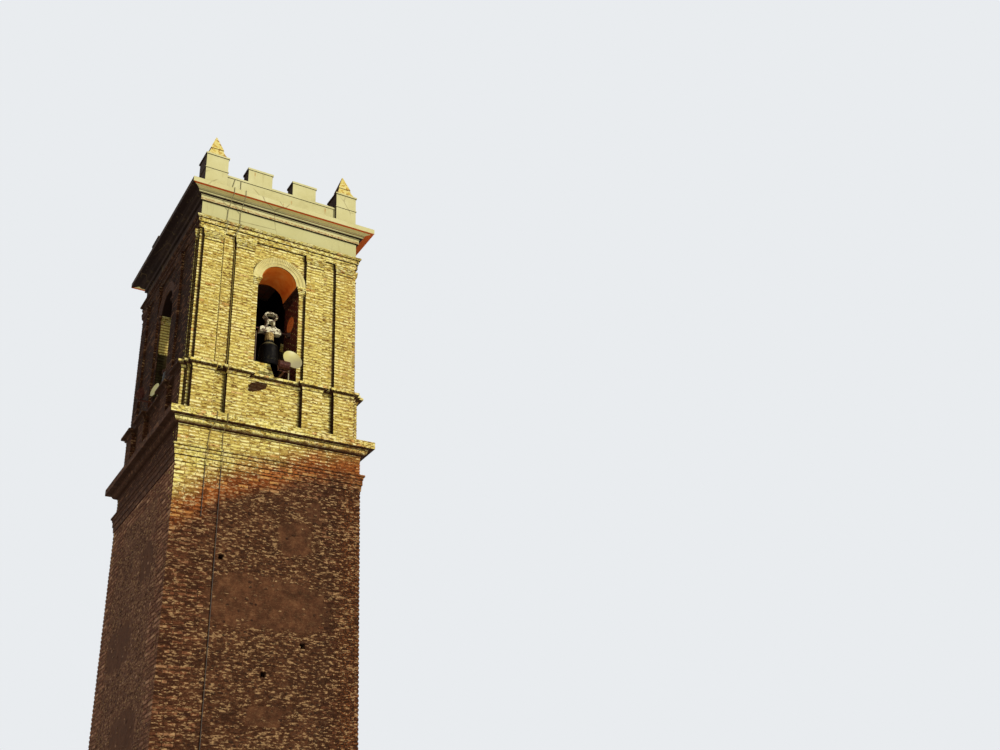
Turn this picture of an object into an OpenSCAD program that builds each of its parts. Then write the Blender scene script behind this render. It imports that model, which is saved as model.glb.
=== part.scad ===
// Brick bell tower with a moulded belfry, two bells and a crown of merlons.
// Millimetres, +Z up. Origin: centre of the plan at ground level. Front is -Y, left is -X.

/* [Plan] */
// Width of the belfry across the front
belfry_w = 5000; // [4000:50:6000]
// Depth of the belfry from front to back
belfry_d = 5700; // [4600:50:6800]
// How far the shaft stands out beyond the belfry walls
shaft_out = 145; // [60:5:250]
// Thickness of the shaft walls
shaft_t = 1400; // [1100:10:1700]
// Thickness of the belfry walls
belfry_t = 1100; // [800:10:1200]

/* [Levels] */
// Top of the plain shaft
shaft_top = 13580; // [9000:10:16000]
// Height of the neck moulding under the frieze
neck_h = 480; // [300:10:700]
// Height of the brick frieze under the middle cornice
low_frieze_h = 570; // [300:10:900]
// Height of the middle cornice
mid_cornice_h = 420; // [300:10:600]
// Height of the pedestals on the middle cornice
pedestal_h = 1410; // [1000:10:1800]
// Height of the string moulding at the sills
string_h = 190; // [120:5:260]
// Height of the pilaster shafts
pilaster_h = 4110; // [3400:10:4800]
// Height of the moulded capitals
capital_h = 390; // [250:10:500]
// Height of the architrave
architrave_h = 410; // [300:10:560]
// Height of the rendered frieze
frieze_h = 570; // [400:10:760]
// Height of the crowning cornice
cornice_h = 470; // [360:10:620]

/* [Projections] */
// Projection of the middle cornice
mid_cornice_out = 473; // [320:5:560]
// Projection of the crowning cornice
cornice_out = 456; // [320:5:560]
// Projection of the pedestals
pedestal_out = 140; // [80:5:200]
// Projection of the pilasters
pilaster_out = 75; // [40:5:120]
// Overhang of the string moulding
string_out = 150; // [80:5:200]
// Overhang of the capitals
capital_out = 55; // [30:5:90]

/* [Pilasters] */
// Width of a pilaster
pilaster_w = 550; // [400:10:640]
// Distance from the corner of the belfry to the outer pilaster
corner_strip = 125; // [110:5:200]
// Distance from the middle of the opening to the inner pilaster
inner_pilaster = 845; // [840:5:900]
// How much wider a pedestal is than its pilaster, each side
pedestal_extra = 25; // [0:5:40]

/* [Openings] */
// Clear width between the jambs
opening_w = 1300; // [1100:10:1400]
// Height of the arch's springing above the sill
spring_h = 3300; // [2800:10:3600]
// Radius of the arch
arch_r = 550; // [450:10:600]
// Outer radius of the archivolt
archivolt_r = 835; // [700:5:840]
// Projection of the archivolt
archivolt_out = 60; // [30:5:74]
// Height of the impost moulding
impost_h = 250; // [150:10:320]
// Height of the low brick wall left in the front opening
upstand_h = 500; // [300:10:550]
// Length of that wall along its top
upstand_top = 520; // [400:10:600]
// Length of that wall along its foot
upstand_foot = 680; // [600:10:760]
// Thickness of that wall
upstand_t = 140; // [120:5:160]
// Thickness of the belfry floor
floor_t = 250; // [180:10:320]

/* [Crown] */
// Width of a corner block
block_w = 685; // [560:5:760]
// Set-back of the parapet from the belfry face
parapet_in = 100; // [60:5:160]
// Thickness of the parapet
parapet_t = 430; // [300:10:480]
// Height of the parapet wall
parapet_h = 750; // [500:10:900]
// Thickness of a coping or cap
coping_h = 70; // [40:5:100]
// Overhang of a coping or cap
coping_out = 25; // [10:5:50]
// Width of a merlon
merlon_w = 785; // [600:5:900]
// Height of a merlon above the coping
merlon_h = 480; // [350:10:600]
// Height of a corner block above the cornice
block_h = 1350; // [1100:10:1600]
// Height of the lower slope of a pinnacle
pinnacle_low = 335; // [200:5:420]
// Height of the upper slope of a pinnacle
pinnacle_high = 605; // [400:5:800]

/* [Bells] */
// Distance from the belfry face to the bell's axis
bell_in = 600; // [560:5:640]
// Height of the turning axis above the sill
axis_h = 1950; // [1900:10:2000]
// Radius of the bell's mouth
bell_r = 370; // [320:5:380]
// Height of the bell from lip to shoulder
bell_h = 740; // [640:10:760]
// Distance from the turning axis down to the bell's lip
lip_drop = 1300; // [1250:5:1310]
// Thickness of the bell's waist
bell_t = 22; // [16:1:30]
// Height of the yoke above the axis
yoke_h = 590; // [480:10:640]
// Length of the yoke's arms, end to end
yoke_w = 660; // [600:10:700]
// Thickness of the yoke
yoke_t = 200; // [160:10:240]
// Radius of the gudgeons
gudgeon_r = 25; // [20:1:30]
// Running clearance of a gudgeon in its bearing
run_gap = 0.1; // [0.05:0.01:0.1]
// Size of the left bell beside the front bell
left_ratio = 0.62; // [0.55:0.01:0.64]
// Distance from the left face to the left bell's axis
left_in = 250; // [240:5:500]
// Height of the left bell's turning axis above the sill
left_axis_h = 1400; // [1380:10:1900]

/* [Fittings] */
// Width of a floodlight
lamp_w = 340; // [260:10:420]
// Height of a floodlight
lamp_h = 250; // [180:10:300]
// Distance from the wall to a floodlight's pivot
lamp_reach = 500; // [420:10:640]
// Height of a floodlight's pivot above the sill
lamp_rise = 250; // [220:10:320]
// Radius of the large dish
dish_r = 300; // [220:10:320]
// Radius of the small dish
small_dish_r = 210; // [160:10:230]
// Radius of the round plate on the right jamb
plate_r = 250; // [160:10:260]
// Height of that plate above the sill
plate_rise = 2300; // [2260:10:2400]
// Radius of the cables on the front
cable_r = 11; // [8:1:12]

/* [Hidden] */
hw = belfry_w / 2;
hd = belfry_d / 2;
z_frieze_low = shaft_top + neck_h;
z_mid = z_frieze_low + low_frieze_h;
z_ped = z_mid + mid_cornice_h;
z_string = z_ped + pedestal_h;
z_sill = z_string + string_h;
z_cap = z_sill + pilaster_h;
z_arch = z_cap + capital_h;
z_frieze = z_arch + architrave_h;
z_cornice = z_frieze + frieze_h;
z_roof = z_cornice + cornice_h;
z_coping = z_roof + parapet_h;
z_merlon = z_coping + coping_h;
z_spring = z_sill + spring_h;
z_axis = z_sill + axis_h;
inner_t = belfry_t + 150;
jamb = opening_w / 2;
yoke_foot = 120;
arc_step = 15;
clear = 10;
bar_gap = 28;
bar_w = 24;
tube_r = 20;

// Holes left by scaffold poles in the front and back of the shaft: [x, z]
putlogs = [[30, 8150], [1050, 8960], [-1250, 11060]];
putlog_w = 150;
putlog_deep = 320;

// Routes of the two cables: [x, distance out from the belfry face, z]
cable_a = [
    [-1550, -84, 23330], [-1690, -84, 22630], [-1694, -60, 22613], [-1704, 450, 22613],
    [-1706, 469, 22596], [-1708, 469, 22428], [-1710, 452, 22406], [-1722, 34, 22036],
    [-1745, 30, 21600], [-1746, 44, 21572], [-1748, 156, 21571.2], [-1749, 168, 21559],
    [-1750, 168, 21500], [-1755, 68, 21142], [-1756, 36, 21126], [-1757, 22, 21095],
    [-1766, 22, 16715], [-1766, 34, 16672], [-1766, 292, 16661.3], [-1766, 306, 16648],
    [-1766, 306, 16560], [-1766, 288, 16522], [-1766, 190, 16476], [-1766, 45, 16464],
    [-1766, 22, 16432], [-1764, 22, 15090], [-1760, 38, 15062], [-1722, 468, 15061.2],
    [-1720, 489, 15042], [-1730, 489, 14838], [-1735, 470, 14815], [-1790, 164, 14600],
    [-1840, 162, 14104], [-1842, 176, 14079], [-1845, 266, 14076], [-1846, 284, 14058],
    [-1848, 284, 14004], [-1858, 200, 13560], [-1860, 170, 13510], [-1870, 170, 12140]];
cable_b = [
    [-1355, -84, 23330], [-1350, -84, 22630], [-1350, -60, 22613], [-1348, 450, 22613],
    [-1348, 469, 22596], [-1347, 469, 22428], [-1347, 452, 22406], [-1340, 34, 22030],
    [-1335, 30, 21600], [-1336, 44, 21572], [-1338, 156, 21571.2], [-1340, 168, 21559],
    [-1345, 168, 21500], [-1470, 68, 21142], [-1470, 36, 21126], [-1470, 22, 21095],
    [-1470, 22, 20780], [-1420, 22, 20640], [-1420, 22, 17000], [-1452, 22, 16715],
    [-1452, 34, 16672], [-1452, 292, 16661.3], [-1452, 306, 16648], [-1452, 306, 16560],
    [-1456, 288, 16522], [-1456, 190, 16474], [-1456, 45, 16462], [-1440, 22, 16432],
    [-1438, 22, 15090], [-1436, 38, 15062], [-1430, 468, 15061.2], [-1428, 489, 15042],
    [-1428, 489, 14838], [-1428, 470, 14815], [-1428, 164, 14600], [-1426, 162, 14104],
    [-1425, 176, 14079], [-1424, 266, 14076], [-1424, 284, 14058], [-1424, 284, 14004],
    [-1424, 200, 13560], [-1424, 170, 13510], [-1440, 170, 9000], [-1500, 170, 60]];

// Moulding profiles: points are [projection beyond the belfry face, height]

// Concave or convex quarter from [e0, z0] to [e1, z1]
function ovolo(e0, z0, e1, z1) =
    [for (a = [0 : arc_step : 90]) [e0 + (e1 - e0) * sin(a), z0 + (z1 - z0) * (1 - cos(a))]];
function cavetto(e0, z0, e1, z1) =
    [for (a = [0 : arc_step : 90]) [e0 + (e1 - e0) * (1 - cos(a)), z0 + (z1 - z0) * sin(a)]];

neck_profile = concat(
    [[shaft_out + 30, shaft_top], [shaft_out + 40, shaft_top + neck_h * 0.35]],
    [[shaft_out + 62, shaft_top + neck_h * 0.37], [shaft_out + 62, shaft_top + neck_h * 0.68]],
    cavetto(shaft_out + 78, shaft_top + neck_h * 0.70, shaft_out + 100, shaft_top + neck_h * 0.88),
    [[shaft_out + 118, shaft_top + neck_h * 0.89], [shaft_out + 118, shaft_top + neck_h]]);

mid_profile = concat(
    [[shaft_out + 15, z_mid], [shaft_out + 15, z_mid + mid_cornice_h * 0.09]],
    ovolo(shaft_out + 25, z_mid + mid_cornice_h * 0.09, mid_cornice_out - 165,
        z_mid + mid_cornice_h * 0.40),
    [[mid_cornice_out - 150, z_mid + mid_cornice_h * 0.41],
     [mid_cornice_out - 150, z_mid + mid_cornice_h * 0.49]],
    [[mid_cornice_out, z_mid + mid_cornice_h * 0.50],
     [mid_cornice_out, z_ped - 12], [mid_cornice_out - 12, z_ped]]);

string_steps = concat(
    [[0, 0], [22, 0], [22, string_h * 0.12]],
    cavetto(22, string_h * 0.12, string_out - 35, string_h * 0.52),
    [[string_out - 35, string_h * 0.56], [string_out, string_h * 0.58]],
    [[string_out, string_h - 6], [string_out - 6, string_h]]);

architrave_profile = concat(
    [[50, z_arch], [50, z_arch + architrave_h * 0.46]],
    [[85, z_arch + architrave_h * 0.47], [85, z_arch + architrave_h * 0.78]],
    ovolo(92, z_arch + architrave_h * 0.79, 135, z_arch + architrave_h * 0.88),
    [[152, z_arch + architrave_h * 0.885], [152, z_frieze]]);

cornice_profile = concat(
    [[83, z_cornice], [83, z_cornice + cornice_h * 0.32]],
    [[104, z_cornice + cornice_h * 0.33], [104, z_cornice + cornice_h * 0.37]],
    ovolo(112, z_cornice + cornice_h * 0.37, 200, z_cornice + cornice_h * 0.49),
    [[212, z_cornice + cornice_h * 0.495], [212, z_cornice + cornice_h * 0.525]],
    cavetto(220, z_cornice + cornice_h * 0.525, 285, z_cornice + cornice_h * 0.62),
    [[cornice_out, z_cornice + cornice_h * 0.635]],
    [[cornice_out, z_roof - 10], [cornice_out - 10, z_roof]]);

capital_steps = concat(
    [[0, 0], [16, 0], [20, capital_h * 0.03], [16, capital_h * 0.07]],
    [[0, capital_h * 0.08], [0, capital_h * 0.36]],
    [[10, capital_h * 0.37], [10, capital_h * 0.43]],
    ovolo(12, capital_h * 0.43, capital_out - 12, capital_h * 0.68),
    [[capital_out - 8, capital_h * 0.70], [capital_out - 8, capital_h * 0.80]],
    [[capital_out, capital_h * 0.82], [capital_out, capital_h]]);

impost_steps = concat(
    [[0, 0], [12, 0], [12, impost_h * 0.14]],
    ovolo(16, impost_h * 0.16, 44, impost_h * 0.42),
    [[54, impost_h * 0.44], [54, impost_h * 0.60]],
    ovolo(58, impost_h * 0.60, 88, impost_h * 0.80),
    [[98, impost_h * 0.82], [98, impost_h]]);

// Building blocks

// Copies its children on the front and on the back
module on_ends() {
    children();
    rotate([0, 0, 180]) children();
}

// Copies its children, drawn as a front, on the left and on the right
module on_sides() {
    rotate([0, 0, -90]) children();
    rotate([0, 0, 90]) children();
}

// Part of the plan that belongs to the front, cut at 45 degrees through the corners
module front_wedge(half_w, half_d, z0, z1) {
    reach = 900;
    deep = 1700;
    translate([0, 0, z0])
        linear_extrude(height = z1 - z0)
            polygon([
                [-half_w - reach, -half_d - reach],
                [half_w + reach, -half_d - reach],
                [half_w - deep, -half_d + deep],
                [-half_w + deep, -half_d + deep]]);
}

// Straight bar of wall with a moulded face, along the front
module front_bar(half_w, half_d, profile, thick) {
    last = len(profile) - 1;
    bottom = profile[0][1];
    top = profile[last][1];
    outline = concat([[thick, bottom]], [for (p = profile) [-p[0], p[1]]], [[thick, top]]);
    intersection() {
        translate([0, -half_d, 0])
            rotate([90, 0, 90])
                linear_extrude(height = 2 * half_w + 1400, center = true)
                    polygon(outline);
        front_wedge(half_w, half_d, bottom - 1, top + 1);
    }
}

// Plain bar of wall along the front
module plain_bar(half_w, half_d, out, z0, z1, thick) {
    front_bar(half_w, half_d, [[out, z0], [out, z1]], thick);
}

// Block against the front face whose moulding returns on both sides
module returned_block(width, out, steps) {
    front = concat(
        [for (p = steps) [width / 2 + p[0], p[1]]],
        [for (i = [len(steps) - 1 : -1 : 0]) [-width / 2 - steps[i][0], steps[i][1]]]);
    side = concat(
        [[0, steps[0][1]]],
        [for (p = steps) [-out - p[0], p[1]]],
        [[0, steps[len(steps) - 1][1]]]);
    intersection() {
        rotate([90, 0, 0])
            linear_extrude(height = 4 * (out + 200), center = true)
                polygon(front);
        rotate([90, 0, 90])
            linear_extrude(height = width + 600, center = true)
                polygon(side);
    }
}

// Solid whose four sides all follow one outline of [half width, height]
module four_sided(outline) {
    shape = concat(
        [for (p = outline) [p[0], p[1]]],
        [for (i = [len(outline) - 1 : -1 : 0]) [-outline[i][0], outline[i][1]]]);
    reach = 2 * max([for (p = outline) p[0]]) + 100;
    intersection() {
        rotate([90, 0, 0]) linear_extrude(height = reach, center = true) polygon(shape);
        rotate([90, 0, 90]) linear_extrude(height = reach, center = true) polygon(shape);
    }
}

// Middles of the four pilasters of a face that is 2 * half wide
function pilaster_places(half) = [
    -half + corner_strip + pilaster_w / 2,
    -inner_pilaster - pilaster_w / 2,
    inner_pilaster + pilaster_w / 2,
    half - corner_strip - pilaster_w / 2];

// Copies its children at the four pilasters of each face
module at_pilasters() {
    on_ends()
        for (x = pilaster_places(hw))
            translate([x, -hd, 0]) children();
    on_sides()
        for (x = pilaster_places(hd))
            translate([x, -hw, 0]) children();
}

// Copies its children at the opening of each face
module at_openings() {
    on_ends() translate([0, -hd, 0]) children();
    on_sides() translate([0, -hw, 0]) children();
}

// Shaft

// Slab that fills the plan inside walls of the given thickness
module slab(thick, z0, height) {
    translate([-hw + thick, -hd + thick, z0])
        cube([2 * (hw - thick), 2 * (hd - thick), height]);
}

// Ground floor, belfry floor and terrace
module floors() {
    color("rosybrown") {
        slab(shaft_t - shaft_out, 0, floor_t);
        slab(belfry_t, z_ped, floor_t);
        slab(belfry_t, z_cornice, cornice_h);
    }
}

module shaft_end_walls() {
    color("sienna")
        on_ends()
            difference() {
                plain_bar(hw, hd, shaft_out, 0, shaft_top, shaft_t - shaft_out);
                for (p = putlogs)
                    translate([p[0] - putlog_w / 2, -hd - shaft_out - 10, p[1]])
                        cube([putlog_w, putlog_deep + 10, putlog_w]);
            }
}

module shaft_side_walls() {
    color("sienna")
        on_sides() plain_bar(hd, hw, shaft_out, 0, shaft_top, shaft_t - shaft_out);
}

module neck_moulding_ends() {
    color("peru")
        on_ends() front_bar(hw, hd, neck_profile, shaft_t - shaft_out);
}

module neck_moulding_sides() {
    color("peru")
        on_sides() front_bar(hd, hw, neck_profile, shaft_t - shaft_out);
}

module low_frieze_ends() {
    color("peru")
        on_ends() plain_bar(hw, hd, shaft_out - 5, z_frieze_low, z_mid, shaft_t - shaft_out);
}

module low_frieze_sides() {
    color("peru")
        on_sides() plain_bar(hd, hw, shaft_out - 5, z_frieze_low, z_mid, shaft_t - shaft_out);
}

module mid_cornice_ends() {
    color("burlywood")
        on_ends() front_bar(hw, hd, mid_profile, shaft_t - shaft_out);
}

module mid_cornice_sides() {
    color("burlywood")
        on_sides() front_bar(hd, hw, mid_profile, shaft_t - shaft_out);
}

// Belfry

module base_walls_ends() {
    color("burlywood")
        on_ends() plain_bar(hw, hd, 0, z_ped, z_string, belfry_t);
}

module base_walls_sides() {
    color("burlywood")
        on_sides() plain_bar(hd, hw, 0, z_ped, z_string, belfry_t);
}

module pedestals() {
    width = pilaster_w + 2 * pedestal_extra;
    color("burlywood")
        at_pilasters()
            translate([-width / 2, -pedestal_out, z_ped])
                cube([width, pedestal_out, pedestal_h]);
}

// String moulding along one front, breaking forward over each pedestal
module string_bar(half_w, half_d) {
    width = pilaster_w + 2 * pedestal_extra;
    front_bar(half_w, half_d, [for (p = string_steps) [p[0], z_string + p[1]]], belfry_t);
    intersection() {
        for (x = pilaster_places(half_w))
            translate([x, -half_d, z_string])
                returned_block(width, pedestal_out, string_steps);
        front_wedge(half_w, half_d, z_string - 1, z_sill + 1);
    }
}

module string_ends() {
    color("burlywood")
        on_ends() string_bar(hw, hd);
}

module string_sides() {
    color("burlywood")
        on_sides() string_bar(hd, hw);
}

// Piers left and right of the openings in the front and back walls
module end_piers() {
    color("burlywood")
        on_ends()
            for (side = [-1, 1])
                intersection() {
                    plain_bar(hw, hd, 0, z_sill, z_arch, belfry_t);
                    translate([side * (jamb + hw), -hd, (z_sill + z_arch) / 2])
                        cube([2 * hw, 4 * belfry_t, z_arch - z_sill + 10], center = true);
                }
}

module side_piers() {
    color("burlywood")
        on_sides()
            for (side = [-1, 1])
                intersection() {
                    plain_bar(hd, hw, 0, z_sill, z_arch, belfry_t);
                    translate([side * (jamb + hd), -hw, (z_sill + z_arch) / 2])
                        cube([2 * hd, 4 * belfry_t, z_arch - z_sill + 10], center = true);
                }
}

module pilasters() {
    color("burlywood")
        at_pilasters()
            translate([-pilaster_w / 2, -pilaster_out, z_sill])
                cube([pilaster_w, pilaster_out, pilaster_h]);
}

module capitals() {
    color("wheat")
        at_pilasters()
            translate([0, 0, z_cap])
                returned_block(pilaster_w, pilaster_out, capital_steps);
}

// Impost moulding: front and two returns that run back through the wall
module returned_impost(width) {
    front = concat(
        [for (p = impost_steps) [width / 2 + p[0], p[1]]],
        [for (i = [len(impost_steps) - 1 : -1 : 0])
            [-width / 2 - impost_steps[i][0] * 0.1, impost_steps[i][1]]]);
    side = concat(
        [[belfry_t, 0]],
        [for (p = impost_steps) [-p[0] * 0.9, p[1]]],
        [[belfry_t, impost_h]]);
    intersection() {
        rotate([90, 0, 0])
            linear_extrude(height = 4 * belfry_t, center = true)
                polygon(front);
        rotate([90, 0, 90])
            linear_extrude(height = 4 * width, center = true)
                polygon(side);
    }
}

// Impost moulding on both jambs, running through the wall and a little way along the face
module imposts() {
    width = archivolt_r - jamb;
    color("wheat")
        at_openings()
            for (side = [0, 1])
                mirror([side, 0, 0])
                    translate([0, 0, z_spring - impost_h])
                        difference() {
                            translate([-jamb - width / 2, 0, 0])
                                returned_impost(width);
                            translate([-jamb - 2 * width, 0, -1])
                                cube([2 * width, belfry_t + 1, impost_h + 2]);
                            translate([-jamb - 2 * width, belfry_t, -1])
                                cube([4 * width, 2 * belfry_t, impost_h + 2]);
                        }
}

// Masonry over one opening, hollowed by the round arch
module arch_block() {
    difference() {
        translate([-jamb, 0, z_spring])
            cube([opening_w, belfry_t, z_arch - z_spring]);
        translate([0, -10, z_spring])
            rotate([-90, 0, 0])
                cylinder(h = belfry_t + 20, r = arch_r, $fn = 96);
    }
}

module arches() {
    color("chocolate")
        at_openings() arch_block();
}

// Moulded half ring round an arch
module archivolt() {
    band = archivolt_r - arch_r;
    outline = [
        [arch_r, 0],
        [arch_r, archivolt_out * 0.45],
        [arch_r + band * 0.34, archivolt_out * 0.45],
        [arch_r + band * 0.34, archivolt_out * 0.62],
        [arch_r + band * 0.66, archivolt_out * 0.62],
        [arch_r + band * 0.70, archivolt_out * 0.80],
        [arch_r + band * 0.80, archivolt_out * 0.95],
        [arch_r + band * 0.86, archivolt_out],
        [archivolt_r, archivolt_out],
        [archivolt_r, 0]];
    translate([0, 0, z_spring])
        rotate([90, 0, 0])
            rotate_extrude(angle = 180, $fn = 96)
                polygon(outline);
}

module archivolts() {
    color("wheat")
        at_openings() archivolt();
}

// Broken brick wall that closes the foot of the front opening on its left half
module front_upstand() {
    color("burlywood")
        translate([-jamb, -hd + 60 + upstand_t, z_sill])
            rotate([90, 0, 0])
                linear_extrude(height = upstand_t)
                    polygon([[0, 0], [upstand_foot, 0], [upstand_foot - 40, upstand_h * 0.35],
                        [upstand_top + 30, upstand_h * 0.8], [upstand_top, upstand_h], [0, upstand_h]]);
}

// Entablature

module architrave_ends() {
    color("burlywood")
        on_ends() front_bar(hw, hd, architrave_profile, inner_t);
}

module architrave_sides() {
    color("burlywood")
        on_sides() front_bar(hd, hw, architrave_profile, inner_t);
}

module frieze_ends() {
    color("cornsilk")
        on_ends() plain_bar(hw, hd, 15, z_frieze, z_cornice, inner_t);
}

module frieze_sides() {
    color("cornsilk")
        on_sides() plain_bar(hd, hw, 15, z_frieze, z_cornice, inner_t);
}

module cornice_ends() {
    color("cornsilk")
        on_ends() front_bar(hw, hd, cornice_profile, belfry_t);
}

module cornice_sides() {
    color("cornsilk")
        on_sides() front_bar(hd, hw, cornice_profile, belfry_t);
}

// Parapet

// Bar between the corner blocks of one face
module between_blocks(half_w, half_d, z0, height, over) {
    translate([-half_w + block_w, -half_d + parapet_in - over, z0])
        cube([2 * (half_w - block_w), parapet_t + 2 * over, height]);
}

// Places of the two merlons of a face, with three equal gaps
function merlon_place(half) = ((2 * (half - block_w) - 2 * merlon_w) / 3 + merlon_w) / 2;

module merlon_pair(half_w, half_d, z0, height, over) {
    for (side = [-1, 1])
        translate([
            side * merlon_place(half_w) - merlon_w / 2 - over,
            -half_d + parapet_in - over,
            z0])
            cube([merlon_w + 2 * over, parapet_t + 2 * over, height]);
}

// Parapet walls between the corner blocks, and the merlons on them
module parapet() {
    color("cornsilk") {
        on_ends() between_blocks(hw, hd, z_roof, parapet_h, 0);
        on_sides() between_blocks(hd, hw, z_roof, parapet_h, 0);
        on_ends() merlon_pair(hw, hd, z_merlon, merlon_h, 0);
        on_sides() merlon_pair(hd, hw, z_merlon, merlon_h, 0);
    }
}

// Flat copings of the parapet walls and of the merlons
module copings() {
    color("linen") {
        on_ends() between_blocks(hw, hd, z_coping, coping_h, coping_out);
        on_sides() between_blocks(hd, hw, z_coping, coping_h, coping_out);
        on_ends() merlon_pair(hw, hd, z_merlon + merlon_h, coping_h, coping_out);
        on_sides() merlon_pair(hd, hw, z_merlon + merlon_h, coping_h, coping_out);
    }
}

module at_corners() {
    for (x = [-1, 1], y = [-1, 1])
        translate([x * (hw - block_w / 2), y * (hd - block_w / 2), z_roof])
            children();
}

// Corner block with a necking line just above the coping and a thin cap
module corner_blocks() {
    half = block_w / 2;
    neck = parapet_h + coping_h;
    color("cornsilk")
        at_corners()
            four_sided([
                [half, 0], [half, neck + 5], [half + 20, neck + 12], [half + 20, neck + 48],
                [half, neck + 58], [half, block_h - 6], [half + 28, block_h], [half + 28, block_h + 55]]);
}

// Two-slope pinnacle with a flared foot
module pinnacles() {
    foot = block_w / 2 - 12;
    knee = 195;
    color("tan")
        at_corners()
            translate([0, 0, block_h + 55])
                four_sided(concat(
                    [for (i = [0 : 5])
                        [foot - (foot - knee) * (1 - (1 - i / 5) * (1 - i / 5) * 0.55 - (1 - i / 5) * 0.45),
                         pinnacle_low * i / 5]],
                    [[knee + 14, pinnacle_low + 10], [14, pinnacle_low + pinnacle_high]]));
}

// Bells: drawn with the axis along X through the origin

lip_z = -lip_drop;
shoulder_z = lip_z + bell_h;
bracket_w = 120;

// Outer line of the bell from lip to crown, as [radius, height]
bell_outer = [
    [bell_r, lip_z], [bell_r * 0.985, lip_z + 35], [bell_r * 0.93, lip_z + 95],
    [bell_r * 0.865, lip_z + 190], [bell_r * 0.82, lip_z + 320], [bell_r * 0.79, lip_z + 480],
    [bell_r * 0.77, lip_z + 620], [bell_r * 0.75, shoulder_z - 40], [bell_r * 0.69, shoulder_z],
    [bell_r * 0.56, shoulder_z + 45], [bell_r * 0.40, shoulder_z + 95],
    [bell_r * 0.36, shoulder_z + 170], [bell_r * 0.34, -yoke_foot]];
// Inner line of the bell from crown to lip
bell_inner = [
    [0, shoulder_z - bell_t], [bell_r * 0.50, shoulder_z - bell_t],
    [bell_r * 0.66, shoulder_z - bell_t - 35], [bell_r * 0.75 - bell_t, shoulder_z - 140],
    [bell_r * 0.79 - bell_t, lip_z + 480], [bell_r * 0.82 - bell_t, lip_z + 320],
    [bell_r * 0.865 - bell_t * 1.5, lip_z + 190], [bell_r * 0.93 - bell_t * 2.4, lip_z + 95],
    [bell_r * 0.985 - bell_t * 1.8, lip_z + 20], [bell_r - bell_t * 0.9, lip_z]];

module bell(ratio) {
    color("darkslategray")
        rotate_extrude($fn = 96)
            polygon(ratio * concat([[0, -yoke_foot]], bell_inner, bell_outer));
}

// Closes an outline given on its right half only
function both_sides(half) =
    concat(half, [for (i = [len(half) - 1 : -1 : 0]) if (half[i][0] > 0) [-half[i][0], half[i][1]]]);

// Hourglass yoke, an open frame with a rounded cap, spreading into two arms
module yoke(ratio) {
    arm = yoke_w / 2;
    waist = 122;
    cap = 208;
    half = concat(
        [[arm, -yoke_foot], [arm, -yoke_foot + 130], [arm - 60, 60]],
        [for (a = [0 : 15 : 90]) [waist + (arm - 90 - waist) * (1 - sin(a)), 60 + 140 * (1 - cos(a))]],
        [[waist, yoke_h - 300]],
        [for (a = [15 : 15 : 90]) [waist + (cap - waist) * (1 - cos(a)), yoke_h - 300 + 130 * sin(a)]],
        [[cap, yoke_h - 120]],
        [for (a = [15 : 15 : 75]) [cap * cos(a), yoke_h - 120 + 120 * sin(a)]],
        [[0, yoke_h]]);
    inner = cap - 48;
    lower_window = [[waist + 10, 78], [waist - 40, 150], [waist - 48, 200], [waist - 48, yoke_h - 320]];
    upper_window = concat(
        [[waist - 38, yoke_h - 262], [inner, yoke_h - 160], [inner, yoke_h - 120]],
        [for (a = [30 : 30 : 60]) [inner * cos(a), yoke_h - 120 + 72 * sin(a)]]);
    color("dimgray")
        difference() {
            rotate([90, 0, 0])
                linear_extrude(height = yoke_t * ratio, center = true)
                    difference() {
                        polygon(ratio * both_sides(half));
                        polygon(ratio * both_sides(lower_window));
                        polygon(ratio * both_sides(upper_window));
                    }
            gudgeon_pin(jamb, gudgeon_r);
        }
}

// Turned iron axle right through the yoke
module gudgeon_pin(reach, radius) {
    rotate([0, 90, 0])
        cylinder(h = 2 * reach, r = radius, center = true, $fn = 48);
}

// Clapper hung under the bell's crown
module clapper(ratio) {
    top = shoulder_z - bell_t;
    color("darkgray")
        rotate_extrude($fn = 48)
            polygon(ratio * [[0, lip_z + 20], [45, lip_z + 30], [62, lip_z + 90], [48, lip_z + 150],
                [20, lip_z + 200], [16, top - 30], [40, top - 12], [40, top], [0, top]]);
}

// Two bearing blocks on the jambs of one opening
module bearing_pair() {
    for (side = [-1, 1])
        difference() {
            translate([side * (jamb - 45), 0, -20])
                cube([90, bracket_w, 140], center = true);
            gudgeon_pin(jamb + clear, gudgeon_r + run_gap);
        }
}

module bearings() {
    color("slategray") {
        place_front() bearing_pair();
        place_left() bearing_pair();
    }
}

module place_front() {
    translate([0, -hd + bell_in, z_axis]) children();
}

module place_left() {
    translate([-hw + left_in, 0, z_sill + left_axis_h]) rotate([0, 0, -90]) children();
}

module bell_axle() {
    color("gray") gudgeon_pin(jamb - clear, gudgeon_r);
}

// Fittings: drawn on the sill of the front opening, with the wall face at y = 0

module on_front_sill() {
    translate([0, -hd, z_sill]) children();
}

module on_left_sill() {
    rotate([0, 0, -90]) translate([0, -hw, z_sill]) children();
}

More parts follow.
